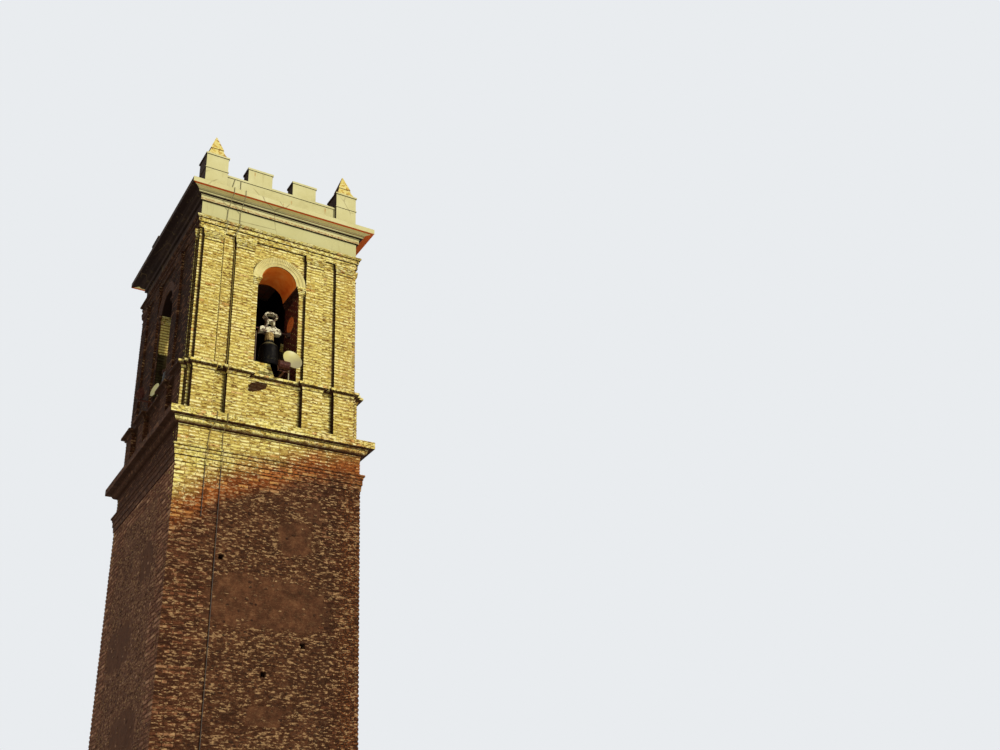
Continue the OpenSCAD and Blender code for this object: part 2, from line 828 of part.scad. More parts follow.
// Floodlight housing about its pivot: a ribbed trough behind a square rim that faces the wall
module lamp_housing() {
    half = lamp_h / 2;
    trough = [[30, half - 8], [-20, half - 8], [-80, half * 0.55], [-98, 0], [-80, -half * 0.55],
        [-20, -half + 8], [30, -half + 8]];
    rib = [[20, half - 3], [-26, half - 3], [-96, half * 0.58], [-112, 0], [-96, -half * 0.58],
        [-26, -half + 3], [20, -half + 3]];
    rotate([20, 0, 0]) {
        rotate([90, 0, 90]) linear_extrude(height = lamp_w - 20, center = true) polygon(trough);
        for (i = [-3 : 3])
            translate([i * (lamp_w - 40) / 6, 0, 0])
                rotate([90, 0, 90]) linear_extrude(height = 7, center = true) polygon(rib);
        difference() {
            translate([-lamp_w / 2, 18, -half]) cube([lamp_w, 34, lamp_h]);
            translate([-lamp_w / 2 + 14, 40, -half + 14]) cube([lamp_w - 28, 20, lamp_h - 28]);
        }
    }
}

// Floodlight in its stirrup, on an arm that is bolted to the sill
module lamp() {
    strap = 6;
    foot_w = 140;
    arm_h = 30;
    color("saddlebrown") {
        translate([-foot_w / 2, -130, 0]) cube([foot_w, 180, 12]);
        translate([-25, -lamp_reach - 20, 12]) cube([50, lamp_reach + 50, arm_h]);
        translate([-lamp_w / 2 - strap, -lamp_reach - 20, 12 + arm_h])
            cube([lamp_w + 2 * strap, 40, strap]);
        for (side = [-1, 1])
            translate([side * (lamp_w + strap) / 2 - strap / 2, -lamp_reach - 20, 12 + arm_h])
                cube([strap, 40, lamp_rise - arm_h + 18]);
        translate([0, -lamp_reach, lamp_rise]) lamp_housing();
    }
}

module lamps() {
    on_front_sill() translate([85, 0, 0]) lamp();
    on_left_sill() translate([-110, 0, 0]) lamp();
}

// Shallow dish with a rolled rim on a post, facing out and a little up
module dish(radius, rise, reach, post_out, turn) {
    deep = radius * 0.17;
    wall = 5;
    tilt = 12;
    bowl = concat(
        [[0, -16], [34, -16], [34, 0]],
        [for (i = [2 : 8]) [radius * i / 8, deep * pow(i / 8, 2)]],
        [[radius + 7, deep - 4], [radius + 7, deep + wall + 4], [radius, deep + wall]],
        [for (i = [7 : -1 : 0]) [radius * i / 8, deep * pow(i / 8, 2) + wall]]);
    color("khaki") {
        translate([0, -reach, rise])
            rotate([90 - tilt, 0, turn])
                rotate_extrude($fn = 96) polygon(bowl);
        translate([0, -reach + 10, rise])
            rotate([-90, 0, 0]) cylinder(h = reach - post_out - 10, r = 15, $fn = 32);
        translate([0, -post_out, 0]) {
            cylinder(h = 8, r = 50, $fn = 48);
            cylinder(h = rise + 40, r = tube_r, $fn = 32);
        }
    }
}

module dishes() {
    on_front_sill() translate([385, 0, 0]) dish(dish_r, 570, 300, 90, 8);
    on_left_sill() translate([50, 0, 0]) dish(small_dish_r, 370, 110, 40, 14);
}

// Upright bar beside the front bell, held off the left jamb by two arms
module jamb_bar() {
    bar_x = -bell_r - bar_gap - bar_w;
    foot = z_axis - z_sill - lip_drop + 50;
    top = z_axis - z_sill - gudgeon_r - 95;
    translate([bar_x, bell_in - 15, foot]) cube([bar_w, 30, top - foot]);
    for (z = [foot + 90, top - 110])
        translate([-jamb, bell_in - 10, z]) cube([bar_x + jamb, 20, 20]);
}

// Dished round plate on the right jamb
module jamb_plate() {
    translate([jamb, bell_in - 20, plate_rise])
        rotate([0, -90, 0])
            rotate_extrude($fn = 96)
                polygon([[0, 0], [plate_r, 0], [plate_r, 22], [plate_r - 24, 22], [plate_r - 34, 10],
                    [60, 10], [50, 28], [0, 28]]);
}

module jamb_fittings() {
    color("sienna")
        on_front_sill() {
            jamb_bar();
            jamb_plate();
        }
}

// Cable through the points of a route, as a tube with mitred bends
module cable(route, radius) {
    sides = 8;
    last = len(route) - 1;
    unit = function(v) v / norm(v);
    along = [for (i = [0 : last - 1]) unit(route[i + 1] - route[i])];
    rings = [for (i = [0 : last])
        let (
            before = along[max(i - 1, 0)],
            after = along[min(i, last - 1)],
            dir = unit(before + after),
            u = unit(cross(dir, [1, 0, 0])),
            w = cross(dir, u))
        for (k = [0 : sides - 1])
            route[i] + radius * (cos(360 * k / sides) * u + sin(360 * k / sides) * w)];
    skin = [for (i = [0 : last - 1], k = [0 : sides - 1])
        let (a = i * sides + k, b = i * sides + (k + 1) % sides)
        each [[a, a + sides, b + sides], [a, b + sides, b]]];
    polyhedron(rings, concat(
        [[for (k = [0 : sides - 1]) k]],
        skin,
        [[for (k = [sides - 1 : -1 : 0]) last * sides + k]]));
}

module wall_cables() {
    color("darkslategray")
        translate([0, -hd, 0])
            for (route = [cable_a, cable_b])
                cable([for (p = route) [p[0], -p[1], p[2]]], cable_r);
}

floors();
shaft_end_walls();
shaft_side_walls();
neck_moulding_ends();
neck_moulding_sides();
low_frieze_ends();
low_frieze_sides();
mid_cornice_ends();
mid_cornice_sides();
base_walls_ends();
base_walls_sides();
pedestals();
string_ends();
string_sides();
end_piers();
side_piers();
pilasters();
capitals();
imposts();
arches();
archivolts();
front_upstand();
architrave_ends();
architrave_sides();
frieze_ends();
frieze_sides();
cornice_ends();
cornice_sides();
parapet();
copings();
corner_blocks();
pinnacles();
bearings();
place_front() bell(1);  // front_bell
place_front() yoke(1);  // front_yoke
place_front() bell_axle();  // front_axle
place_front() clapper(1);  // front_clapper
place_left() bell(left_ratio);  // left_bell
place_left() yoke(left_ratio);  // left_yoke
place_left() bell_axle();  // left_axle
place_left() clapper(left_ratio);  // left_clapper
lamps();
dishes();
jamb_fittings();
wall_cables();
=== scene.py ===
import math

import bpy
import numpy as np
from mathutils import Matrix, Vector


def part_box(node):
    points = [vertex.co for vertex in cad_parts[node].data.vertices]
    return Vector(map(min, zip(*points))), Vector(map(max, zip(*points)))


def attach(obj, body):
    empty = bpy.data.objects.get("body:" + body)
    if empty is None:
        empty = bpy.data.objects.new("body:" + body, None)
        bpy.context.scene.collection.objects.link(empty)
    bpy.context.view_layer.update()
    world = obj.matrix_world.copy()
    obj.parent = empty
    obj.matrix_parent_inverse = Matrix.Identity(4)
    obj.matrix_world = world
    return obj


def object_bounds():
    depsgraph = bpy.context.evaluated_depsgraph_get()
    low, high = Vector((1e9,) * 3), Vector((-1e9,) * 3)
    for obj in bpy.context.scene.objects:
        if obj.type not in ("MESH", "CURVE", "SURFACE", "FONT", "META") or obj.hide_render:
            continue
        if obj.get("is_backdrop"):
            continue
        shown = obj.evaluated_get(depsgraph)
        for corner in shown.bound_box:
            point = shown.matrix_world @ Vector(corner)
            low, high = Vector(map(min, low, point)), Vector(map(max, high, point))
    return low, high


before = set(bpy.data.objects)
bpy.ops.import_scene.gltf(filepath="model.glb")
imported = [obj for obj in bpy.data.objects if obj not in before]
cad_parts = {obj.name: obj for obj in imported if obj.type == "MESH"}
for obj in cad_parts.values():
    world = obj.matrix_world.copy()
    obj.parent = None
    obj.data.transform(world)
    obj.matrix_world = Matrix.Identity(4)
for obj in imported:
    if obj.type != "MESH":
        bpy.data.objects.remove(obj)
cad_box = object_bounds()

# Camera, floor and light
# The camera stands at eye height in front of the tower and to its left, and looks up at the belfry. Floor
# and background are plain and pale. A low sun stands right of the front, and two weak ones light the back and
# the left.
eye = Vector((-9.886, -29.56, 1.6))
turn = math.radians(33.46)
rise = math.radians(28.02)
roll = math.radians(-3.46)
ahead = Vector((math.sin(turn) * math.cos(rise), math.cos(turn) * math.cos(rise), math.sin(rise)))
level = Vector((math.cos(turn), -math.sin(turn), 0))
above = level.cross(ahead)
camera_right = level * math.cos(roll) + above * math.sin(roll)
camera_up = above * math.cos(roll) - level * math.sin(roll)
bpy.ops.object.camera_add()
camera = bpy.context.object
camera.matrix_world = (
    Matrix.Translation(eye) @ Matrix((camera_right, camera_up, -ahead)).transposed().to_4x4()
)
camera.data.sensor_width = 36
camera.data.lens = 39.546
camera.data.clip_end = 600
bpy.context.scene.camera = camera
bpy.context.scene.view_settings.view_transform = "Standard"


def tone(red, green, blue):
    """A colour as it looks, in steps of 0 to 255, as the linear colour that a shader wants."""
    linear = [v / 12.92 if v <= 0.04045 else ((v + 0.055) / 1.055) ** 2.4
              for v in (red / 255, green / 255, blue / 255)]
    return (*linear, 1.0)


class Value:
    """One socket of a finish. Arithmetic on values adds Math nodes."""

    def __init__(self, finish, socket):
        self.finish = finish
        self.socket = socket

    def maths(self, operation, *values):
        return self.finish.node("ShaderNodeMath", {"operation": operation}, dict(enumerate(values)))

    def __add__(self, other):
        return self.maths("ADD", self, other)

    def __sub__(self, other):
        return self.maths("SUBTRACT", self, other)

    def __rsub__(self, other):
        return self.maths("SUBTRACT", other, self)

    def __mul__(self, other):
        return self.maths("MULTIPLY", self, other)

    def __truediv__(self, other):
        return self.maths("DIVIDE", self, other)

    def __pow__(self, other):
        return self.maths("POWER", self, other)

    def __abs__(self):
        return self.maths("ABSOLUTE", self)

    def __lt__(self, other):
        return self.maths("LESS_THAN", self, other)

    def __gt__(self, other):
        return self.maths("GREATER_THAN", self, other)

    __radd__ = __add__
    __rmul__ = __mul__

    def as_number(self):
        """This colour as a number, its brightness."""
        return self * 1.0

    def lesser(self, other):
        return self.maths("MINIMUM", self, other)

    def greater(self, other):
        return self.maths("MAXIMUM", self, other)

    def ramp(self, low, high, start=0.0, end=1.0):
        """Runs smoothly from start to end while this value goes from low to high."""
        return self.finish.node(
            "ShaderNodeMapRange",
            {"interpolation_type": "SMOOTHSTEP"},
            {"Value": self, "From Min": low, "From Max": high, "To Min": start, "To Max": end},
        )


class Finish:
    """A procedural material, or the node tree of a world, under construction."""

    def __init__(self, name, tree=None, shine=0.5):
        if tree is None:
            self.material = bpy.data.materials.new(name)
            self.material.use_nodes = True
            tree = self.material.node_tree
            self.shader = tree.nodes["Principled BSDF"]
            self.shader.inputs["Specular IOR Level"].default_value = shine
        self.tree = tree
        self.axes = {}
        self.colour = None

    def node(self, kind, settings=None, sockets=None, output=0):
        """Adds a node of any kind, with its settings first and then the values or links of its sockets."""
        made = self.tree.nodes.new(kind)
        for name, value in (settings or {}).items():
            if name == "stops":
                for stop, (position, colour) in zip(made.color_ramp.elements, (value[0], value[-1])):
                    stop.position = position
                    stop.color = colour
                for position, colour in value[1:-1]:
                    made.color_ramp.elements.new(position).color = colour
            else:
                setattr(made, name, value)
        for name, value in (sockets or {}).items():
            if isinstance(value, Value):
                self.tree.links.new(value.socket, made.inputs[name])
            else:
                made.inputs[name].default_value = value
        return Value(self, made.outputs[output])

    def axis(self, source, letter):
        """X, Y or Z of a point's place on the piece (Object), or of the way its surface faces (Normal)."""
        if source + letter not in self.axes:
            vector = self.node("ShaderNodeTexCoord", output=source)
            self.axes[source + letter] = self.node(
                "ShaderNodeSeparateXYZ", sockets={"Vector": vector}, output=letter
            )
        return self.axes[source + letter]

    @property
    def x(self):
        return self.axis("Object", "X")

    @property
    def y(self):
        return self.axis("Object", "Y")

    @property
    def z(self):
        return self.axis("Object", "Z")

    def noise(self, scale, detail=4.0, rough=0.55, stretch=(1, 1, 1)):
        """Cloudy noise from 0 to 1, with about `scale` clouds to the metre."""
        place = self.node("ShaderNodeTexCoord", output="Object")
        drawn = self.node("ShaderNodeVectorMath", {"operation": "MULTIPLY"}, {0: place, 1: stretch})
        return self.node(
            "ShaderNodeTexNoise",
            sockets={"Vector": drawn, "Scale": scale, "Detail": detail, "Roughness": rough},
        )

    def mix(self, factor, first, second):
        """The first colour where the factor is 0, and the second where it is 1. Both are values, or plain
        colours in steps of 0 to 255."""
        first, second = (shade if isinstance(shade, Value) else tone(*shade) for shade in (first, second))
        settings = {"data_type": "RGBA", "clamp_factor": True}
        return self.node("ShaderNodeMix", settings, {0: factor, 6: first, 7: second}, 2)

    def over(self, mask, shade):
        """Covers the colour so far with another shade where the mask is 1."""
        self.colour = self.mix(mask, self.colour, shade)

    def colours(self, factor, *stops):
        """A ramp of colours. Each stop is a place from 0 to 1 and a colour in steps of 0 to 255."""
        ramp = [(place, tone(*colour)) for place, *colour in stops]
        return self.node("ShaderNodeValToRGB", {"stops": ramp}, {"Fac": factor}, "Color")

    def bump(self, height, distance):
        return self.node("ShaderNodeBump", sockets={"Height": height, "Distance": distance}, output="Normal")

    def clouded(self, noise, *stops):
        """Starts the colour as a ramp over cloudy noise, and gives that noise."""
        cloud = self.noise(*noise)
        self.colour = self.colours(cloud, *stops)
        return cloud

    def done(self, roughness, normal=None, metallic=0.0):
        """The material, with its colour, roughness, bumps and metal share put on the shader."""
        wanted = {"Base Color": self.colour, "Roughness": roughness, "Metallic": metallic, "Normal": normal}
        for name, value in wanted.items():
            if isinstance(value, Value):
                self.tree.links.new(value.socket, self.shader.inputs[name])
            elif value is not None:
                self.shader.inputs[name].default_value = value
        return self.material


def add_sun(name, azimuth, elevation, strength, angle, colour):
    """Sun whose light comes from azimuth degrees right of the front and elevation degrees above level."""
    aim = Vector((
        math.sin(math.radians(azimuth)) * math.cos(math.radians(elevation)),
        -math.cos(math.radians(azimuth)) * math.cos(math.radians(elevation)),
        math.sin(math.radians(elevation)),
    ))
    bpy.ops.object.light_add(type="SUN", rotation=aim.to_track_quat("Z", "Y").to_euler())
    sun = bpy.context.object
    sun.name = name
    sun.data.energy = strength
    sun.data.angle = math.radians(angle)
    sun.data.color = colour


add_sun("front_sun", 34, 14, 2.5, 3.0, (1.0, 0.97, 0.91))
add_sun("back_sun", 158, 32, 1.3, 10.0, (1.0, 0.98, 0.95))
add_sun("left_sun", -105, 24, 0.4, 20.0, (1.0, 0.97, 0.93))

world = bpy.data.worlds.new("pale_studio")
world.use_nodes = True
bpy.context.scene.world = world
sky = Finish("pale_studio", world.node_tree)
seen = sky.node("ShaderNodeLightPath", output="Is Camera Ray")
for ray in ("Is Glossy Ray", "Is Transmission Ray"):
    seen = seen.greater(sky.node("ShaderNodeLightPath", output=ray))
lit = sky.node("ShaderNodeBackground", sockets={"Color": (1.0, 0.985, 0.955, 1), "Strength": 0.42})
backdrop = sky.node("ShaderNodeBackground", sockets={"Color": tone(233, 236, 239), "Strength": 1.0})
chosen = sky.node("ShaderNodeMixShader", sockets={0: seen, 1: lit, 2: backdrop})
sky.tree.links.new(chosen.socket, sky.tree.nodes["World Output"].inputs["Surface"])

bpy.ops.mesh.primitive_plane_add(size=240, location=(0, 0, -0.003))
floor = bpy.context.object
floor.name = "studio_floor"
pale = Finish("studio_floor")
pale.colour = pale.mix(pale.noise(0.4), (206, 206, 202), (216, 216, 212))
floor.data.materials.append(pale.done(0.85))
floor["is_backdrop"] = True

# Shaft of the tower
# Brick quoins, toothed into rubble in lime mortar that is rendered smooth in patches. The walls are solids of
# the frame and show as the mortar, and bricks and stones stand a little proud of them. Sunlight is painted
# golden on the upper part, down to a slanting painted shadow edge with painted orange along it, and painted
# shade lies below that edge and on the sides.
half_x, half_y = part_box("end_piers")[1].xy
shaft_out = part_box("shaft_end_walls")[1].x - half_x
shaft_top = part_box("shaft_end_walls")[1].z
dice = np.random.default_rng(41)

# Each face of the tower: name, quarter turns from the front, half its width, distance out
faces = (
    ("front", 0, half_x, half_y),
    ("right", 1, half_y, half_x),
    ("back", 2, half_x, half_y),
    ("left", 3, half_y, half_x),
)
shaft_pitch = shaft_top / round(shaft_top / 0.12)
shaft_brick_tall = 0.068
shaft_brick_long = 0.285
shaft_joint = 0.02
shaft_bed = 0.026
shaft_proud = 0.013

# Quoins: rows to one tooth, reach from the corner, height over which they reach further and by how much,
# rows right across, and how far a course stops short of a corner that the next face's course goes round
tooth_rows = 4
quoin_least = 0.72
quoin_most = 1.12
wide_quoins_above = 11.8
wide_quoins_share = 1.35
full_rows = 4
quoin_lap = 0.16

# Lower edge of the painted sunlight, where the painted shadow begins: its height on the middle line and its
# climb to the right, for a steep and a gentle stretch, and the height of its level end
shadow_edge_steep = (14.22, 0.72)
shadow_edge_gentle = (13.82, 0.40)
shadow_edge_level = 14.4
sides_paler_below = 16.4
pier_return = 0.3


def dress(material, *names):
    """Gives the finish to nodes of the frame."""
    for name in names:
        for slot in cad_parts[name].material_slots:
            slot.material = material


def facing_ends(finish):
    """1 where the surface faces the front or the back, 0 where it faces a side."""
    return abs(finish.axis("Normal", "X")) < abs(finish.axis("Normal", "Y"))


def painted_sun_mask(finish):
    """1 on surfaces square to the front and back, painted as lit by the low sun, and 0 on sides, ledges and
    undersides, and on the narrow returns of the piers along the sides, which are painted as in shade."""
    along_side = (finish.y > pier_return - half_y) * (finish.y < half_y - 0.02)
    return_strip = (abs(finish.x) > half_x - 0.005) * along_side
    return abs(finish.axis("Normal", "Y")).ramp(0.45, 0.8) * (1.0 - return_strip)


def above_line(finish, low, high):
    """Goes from 0 to 1 between two heights over the edge between painted sunlight and painted shadow, which
    climbs steeply from the left corner, then slowly to the right, and runs level under the cornice."""
    steep, gentle = (finish.x * climb + height for height, climb in (shadow_edge_steep, shadow_edge_gentle))
    line = steep.lesser(gentle).lesser(shadow_edge_level)
    ragged = (finish.noise(1.6, 6.0, 0.6) - 0.5) * 1.1
    return (finish.z - line + ragged).ramp(low, high)


def in_patch(finish, along, patch):
    """1 inside one patch of smooth render, with a ragged edge."""
    middle, level_up, half_long, half_tall = patch
    ragged = (finish.noise(4.5, 7.0, 0.68) - 0.5) * 3.0
    across = (abs(along - middle) / half_long) ** 4
    upward = (abs(finish.z - level_up) / half_tall) ** 4
    return (1.0 - across - upward + ragged).ramp(-0.1, 0.3)


# Smooth rendered patches: middle along X or Y, middle height, half length, half height
end_patches = ((-0.15, 10.05, 1.5, 0.72), (1.05, 9.95, 0.8, 0.6), (0.75, 11.9, 0.5, 0.5),
               (1.4, 12.7, 0.35, 0.3), (0.1, 7.2, 0.5, 0.25), (0.2, 4.0, 1.2, 0.8))
side_patches = ((0.9, 9.6, 1.2, 0.6), (-1.1, 11.4, 0.6, 0.5), (-0.4, 7.0, 1.2, 0.7),
                (0.6, 3.6, 1.2, 0.8))


def brick_tint(finish):
    """The random number from 0 to 1 that each brick or stone carries."""
    return finish.node("ShaderNodeAttribute", {"attribute_name": "tint"}, output="Fac")


def darker_to_right(finish):
    """Darker towards the right corners."""
    return finish.x.ramp(0.9, 2.5) * 0.7


def masonry(finish, tint, painted_sunlit, rust_and_shadow_edge, shaded_ends, sides):
    """Colours a finish from four palettes: painted sunlight above the edge of the painted shadow, painted
    orange along that edge, painted shade below it on faces toward the front and back, and painted shade on
    the sides, which is a little paler low down."""
    finish.colour = finish.colours(tint, *sides)
    finish.over(finish.z.ramp(sides_paler_below + 0.2, sides_paler_below - 0.2) * 0.12, (140, 92, 66))
    # Faces toward the front and back are painted brown, as in shade.
    finish.over(facing_ends(finish), finish.colours(tint, *shaded_ends))
    finish.over(darker_to_right(finish), (38, 21, 15))
    # Painted orange along the shadow edge, then painted sunlight above it, on faces square to the front
    finish.over(above_line(finish, -0.85, -0.25) * painted_sun_mask(finish), finish.colours(tint, *rust_and_shadow_edge))
    finish.over(above_line(finish, -0.1, 0.75) * painted_sun_mask(finish), finish.colours(tint, *painted_sunlit))
    speckle = finish.noise(17, 4.0, 0.7, (1, 1, 2)).ramp(0.50, 0.57) * finish.x.ramp(1.7, 2.4)
    finish.over(speckle * 0.55, (154, 88, 42))


def weather(finish, soot, fleck_dark, fleck_light):
    """Large clouds of dirt, and fine dark and pale flecks, fewer on the sides. Gives the flecks, which are
    also the grit of the surface."""
    finish.over(finish.noise(0.8, 6.0, 0.65).ramp(0.48, 0.74) * soot, (58, 36, 24))
    fleck = finish.noise(48, 6.0, 0.72)
    finish.over(fleck.ramp(0.56, 0.72) * fleck_dark, (72, 42, 24))
    seen_share = facing_ends(finish) * 0.75 + 0.25
    finish.over(fleck.ramp(0.44, 0.30) * seen_share * fleck_light, (208, 182, 124))
    return fleck


def chipped(finish, amount, side_share=0.15):
    """Short level marks: chipped edges and open joints, whose dark marks also stand for painted shadow in the
    joints, and lime that is still bright, with less on the sides. Each kind is painted lighter where the wall
    is painted sunlit."""
    mark = finish.noise(8.5, 3.0, 0.64, (1, 1, 3))
    painted_sunlit = above_line(finish, -0.3, 0.2) * painted_sun_mask(finish)
    ends = facing_ends(finish)
    # Dark marks, partly chipped brick and partly painted shadow in the joints, lighter where painted sunlit
    hollow_and_joint_shadow = finish.mix(painted_sunlit, (44, 25, 15), (100, 62, 24))
    finish.over(mark.ramp(0.465, 0.405) * (ends * 0.5 + 0.5) * amount, hollow_and_joint_shadow)
    lime = finish.mix(painted_sunlit, (184, 148, 102), (250, 240, 176))
    finish.over(mark.ramp(0.56, 0.62) * (ends * (1.0 - side_share) + side_share) * amount, lime)


# Palettes of painted sunlight, the painted orange of its edge, painted shade on the front and back, and
# painted shade on the sides
sunlit_bricks = ((0.0, 202, 172, 78), (0.3, 226, 206, 106), (0.7, 240, 225, 128),
                 (0.95, 248, 236, 156), (1.0, 206, 150, 70))
shadow_edge_bricks = ((0.0, 112, 56, 24), (0.4, 150, 82, 36), (0.8, 176, 104, 48), (1.0, 196, 142, 76))
shaded_end_bricks = ((0.0, 58, 32, 20), (0.4, 84, 48, 29), (0.8, 106, 63, 39),
                (0.95, 126, 82, 54), (1.0, 158, 118, 80))
shaded_side_bricks = ((0.0, 70, 42, 31), (0.4, 100, 64, 48), (0.8, 128, 87, 66), (1.0, 170, 130, 102))
sunlit_bed = ((0.3, 120, 84, 34), (0.5, 190, 162, 82), (0.7, 218, 196, 108))
shadow_edge_bed = ((0.3, 96, 45, 18), (0.7, 148, 80, 34))
shaded_end_bed = ((0.3, 58, 34, 21), (0.5, 78, 47, 29), (0.7, 98, 62, 40))
shaded_side_bed = ((0.3, 66, 43, 32), (0.7, 108, 76, 58))

fired = Finish("shaft_brick", shine=0.08)
masonry(fired, brick_tint(fired), sunlit_bricks, shadow_edge_bricks, shaded_end_bricks, shaded_side_bricks)
fired_grit = weather(fired, 0.3, 0.55, 0.3)
chipped(fired, 0.75, 0.6)
shaft_brick = fired.done(0.84 + fired_grit * 0.12, fired.bump(fired_grit, 0.006))

fieldstone = Finish("shaft_rubble", shine=0.1)
stone_tint = brick_tint(fieldstone) * 0.8 + fieldstone.noise(9, 5.0) * 0.3
# Stones are painted sunlit, orange at the shadow edge, and shaded on the ends and sides, like the bricks
sunlit_stones = ((0.0, 120, 84, 38), (0.5, 190, 158, 84), (1.0, 230, 210, 140))
shadow_edge_stones = ((0.0, 92, 46, 24), (0.5, 148, 86, 44), (1.0, 200, 154, 98))
shaded_end_stones = ((0.0, 40, 23, 15), (0.4, 66, 40, 25), (0.85, 92, 60, 38), (1.0, 146, 112, 76))
shaded_side_stones = ((0.0, 54, 35, 26), (0.5, 94, 64, 49), (0.85, 124, 90, 69), (1.0, 168, 132, 104))
masonry(fieldstone, stone_tint, sunlit_stones, shadow_edge_stones, shaded_end_stones, shaded_side_stones)
stone_grit = weather(fieldstone, 0.3, 0.6, 0.35)
chipped(fieldstone, 0.7, 0.6)
rubble = fieldstone.done(0.82 + stone_grit * 0.14, fieldstone.bump(stone_grit, 0.012))


def along_face(finish):
    """Place along the face that the surface belongs to: X in front and behind, Y on the sides."""
    ends = facing_ends(finish)
    return finish.x * ends + finish.y * (1.0 - ends)


def highest(masks):
    """The greatest of several masks."""
    first, *others = masks
    for mask in others:
        first = first.greater(mask)
    return first


bed = Finish("shaft_mortar", shine=0.05)
on_end = facing_ends(bed)
along_wall = along_face(bed)
smooth = highest(
    in_patch(bed, along_wall, patch) * there
    for patches, there in ((end_patches, on_end), (side_patches, 1.0 - on_end))
    for patch in patches
)
render_shade = bed.colours(
    bed.noise(3.4, 8.0, 0.74), (0.34, 54, 33, 21), (0.5, 82, 51, 33), (0.66, 108, 71, 46)
)
render_shade = bed.mix((1.0 - on_end) * 0.6, render_shade, (78, 54, 42))
render_shade = bed.mix(darker_to_right(bed), render_shade, (38, 21, 15))
covered = smooth * (1.0 - above_line(bed, -0.3, 0.1) * painted_sun_mask(bed))
masonry(bed, bed.noise(2.2, 6.0, 0.65), sunlit_bed, shadow_edge_bed, shaded_end_bed, shaded_side_bed)
chipped(bed, 0.7, 0.6)
bed.over(covered * 0.9, render_shade)
bed_grit = weather(bed, 0.35, 0.7, 0.25)
bed_height = bed_grit * (1.0 - smooth * 0.8) + bed.noise(7, 5.0) * 1.4
shaft_mortar = bed.done(0.92, bed.bump(bed_height, 0.014))
dress(shaft_mortar, "shaft_end_walls", "shaft_side_walls")


def new_block():
    """A block of 2 units, the only thing selected."""
    bpy.ops.object.select_all(action="DESELECT")
    bpy.ops.mesh.primitive_cube_add(size=2)
    return bpy.context.object


def taken_apart(block):
    """Corners and faces of a template, which then goes."""
    corners = np.array([corner.co for corner in block.data.vertices])
    sides = [list(side.vertices) for side in block.data.polygons]
    bpy.data.objects.remove(block)
    return corners, sides


def brick_shape(worn):
    """A brick of 2 units whose outer face, towards -Y, has worn edges."""
    block = new_block()
    for corner in block.data.vertices:
        corner.select = corner.co.y < -0.9
    for edge in block.data.edges:
        edge.select = all(block.data.vertices[i].select for i in edge.vertices)
    for side in block.data.polygons:
        side.select = side.normal.y < -0.9
    bpy.ops.object.mode_set(mode="EDIT")
    bpy.ops.mesh.inset(thickness=worn)
    bpy.ops.object.mode_set(mode="OBJECT")
    return taken_apart(block)


worn_share = 0.1
brick_corners, brick_sides = brick_shape(worn_share)
brick_rim = (np.abs(brick_corners).min(axis=1) > 0.99) & (brick_corners[:, 1] < 0)


def block_points(boxes, worn):
    """Corners of a brick for each row of [along from, to, out from, to, up from, to]. Its worn face is inset,
    and the rim round that face is set back by as much."""
    low = boxes[:, None, [0, 2, 4]] * (1, -1, 1)
    high = boxes[:, None, [1, 3, 5]] * (1, -1, 1)
    half = np.abs(high - low) / 2
    sign = np.sign(brick_corners)
    drawn_in = (1 - np.abs(brick_corners)) / worn_share
    drawn_in[brick_rim, 1] = 1.0
    return (low + high) / 2 + sign * (half - drawn_in * worn)


def turned(points, quarter):
    """Points after a number of quarter turns round the middle of the tower."""
    for _ in range(quarter):
        points = np.stack((-points[..., 1], points[..., 0], points[..., 2]), axis=-1)
    return points


def placed(points, quarter, out):
    """Points of a face, as [along, towards the tower, up], moved to that face of the tower."""
    return turned(points - (0, out, 0), quarter)


def join_blocks(name, points, sides, material):
    """One mesh from many small closed blocks, each with its own tint, fixed to the tower."""
    count, corners = points.shape[:2]
    joined = np.array(sides) + (np.arange(count) * corners)[:, None, None]
    mesh = bpy.data.meshes.new(name)
    mesh.from_pydata(points.reshape(-1, 3).tolist(), [], joined.reshape(-1, len(sides[0])).tolist())
    tints = np.repeat(dice.random(count), len(sides))
    mesh.attributes.new("tint", "FLOAT", "FACE").data.foreach_set("value", tints.astype(np.float32))
    mesh.materials.append(material)
    piece = bpy.data.objects.new(name, mesh)
    bpy.context.collection.objects.link(piece)
    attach(piece, "tower")


# How far the bricks reach into the wall, how far those do that go round a corner, the share of bricks that
# have fallen out, and the shortest brick as a share of a whole one
brick_back = -0.02
corner_back = -0.14
missing_share = 0.012
shortest_share = 0.38


def course(low, high, row, length, joint, up, tall, out, deep=(False, False)):
    """Boxes of one course of bricks, a few of which have fallen out. A deep end brick turns the corner."""
    ends = [low]
    step = length * (0.5 if row % 2 else 1.0)
    while ends[-1] + step < high - shortest_share * length:
        ends.append(ends[-1] + step + dice.uniform(-0.05, 0.05) * length)
        step = length
    ends.append(high)
    boxes = []
    for i, (start, end) in enumerate(zip(ends, ends[1:])):
        first = i == 0
        last = i == len(ends) - 2
        corner = (deep[0] and first) or (deep[1] and last)
        if not corner and dice.random() < missing_share:
            continue
        boxes.append([
            start + (0 if first else joint / 2),
            end - (0 if last else joint / 2),
            corner_back if corner else brick_back,
            out + dice.uniform(-0.004, 0.004),
            up + dice.uniform(-0.002, 0.002),
            up + tall + dice.uniform(-0.003, 0.003),
        ])
    return boxes


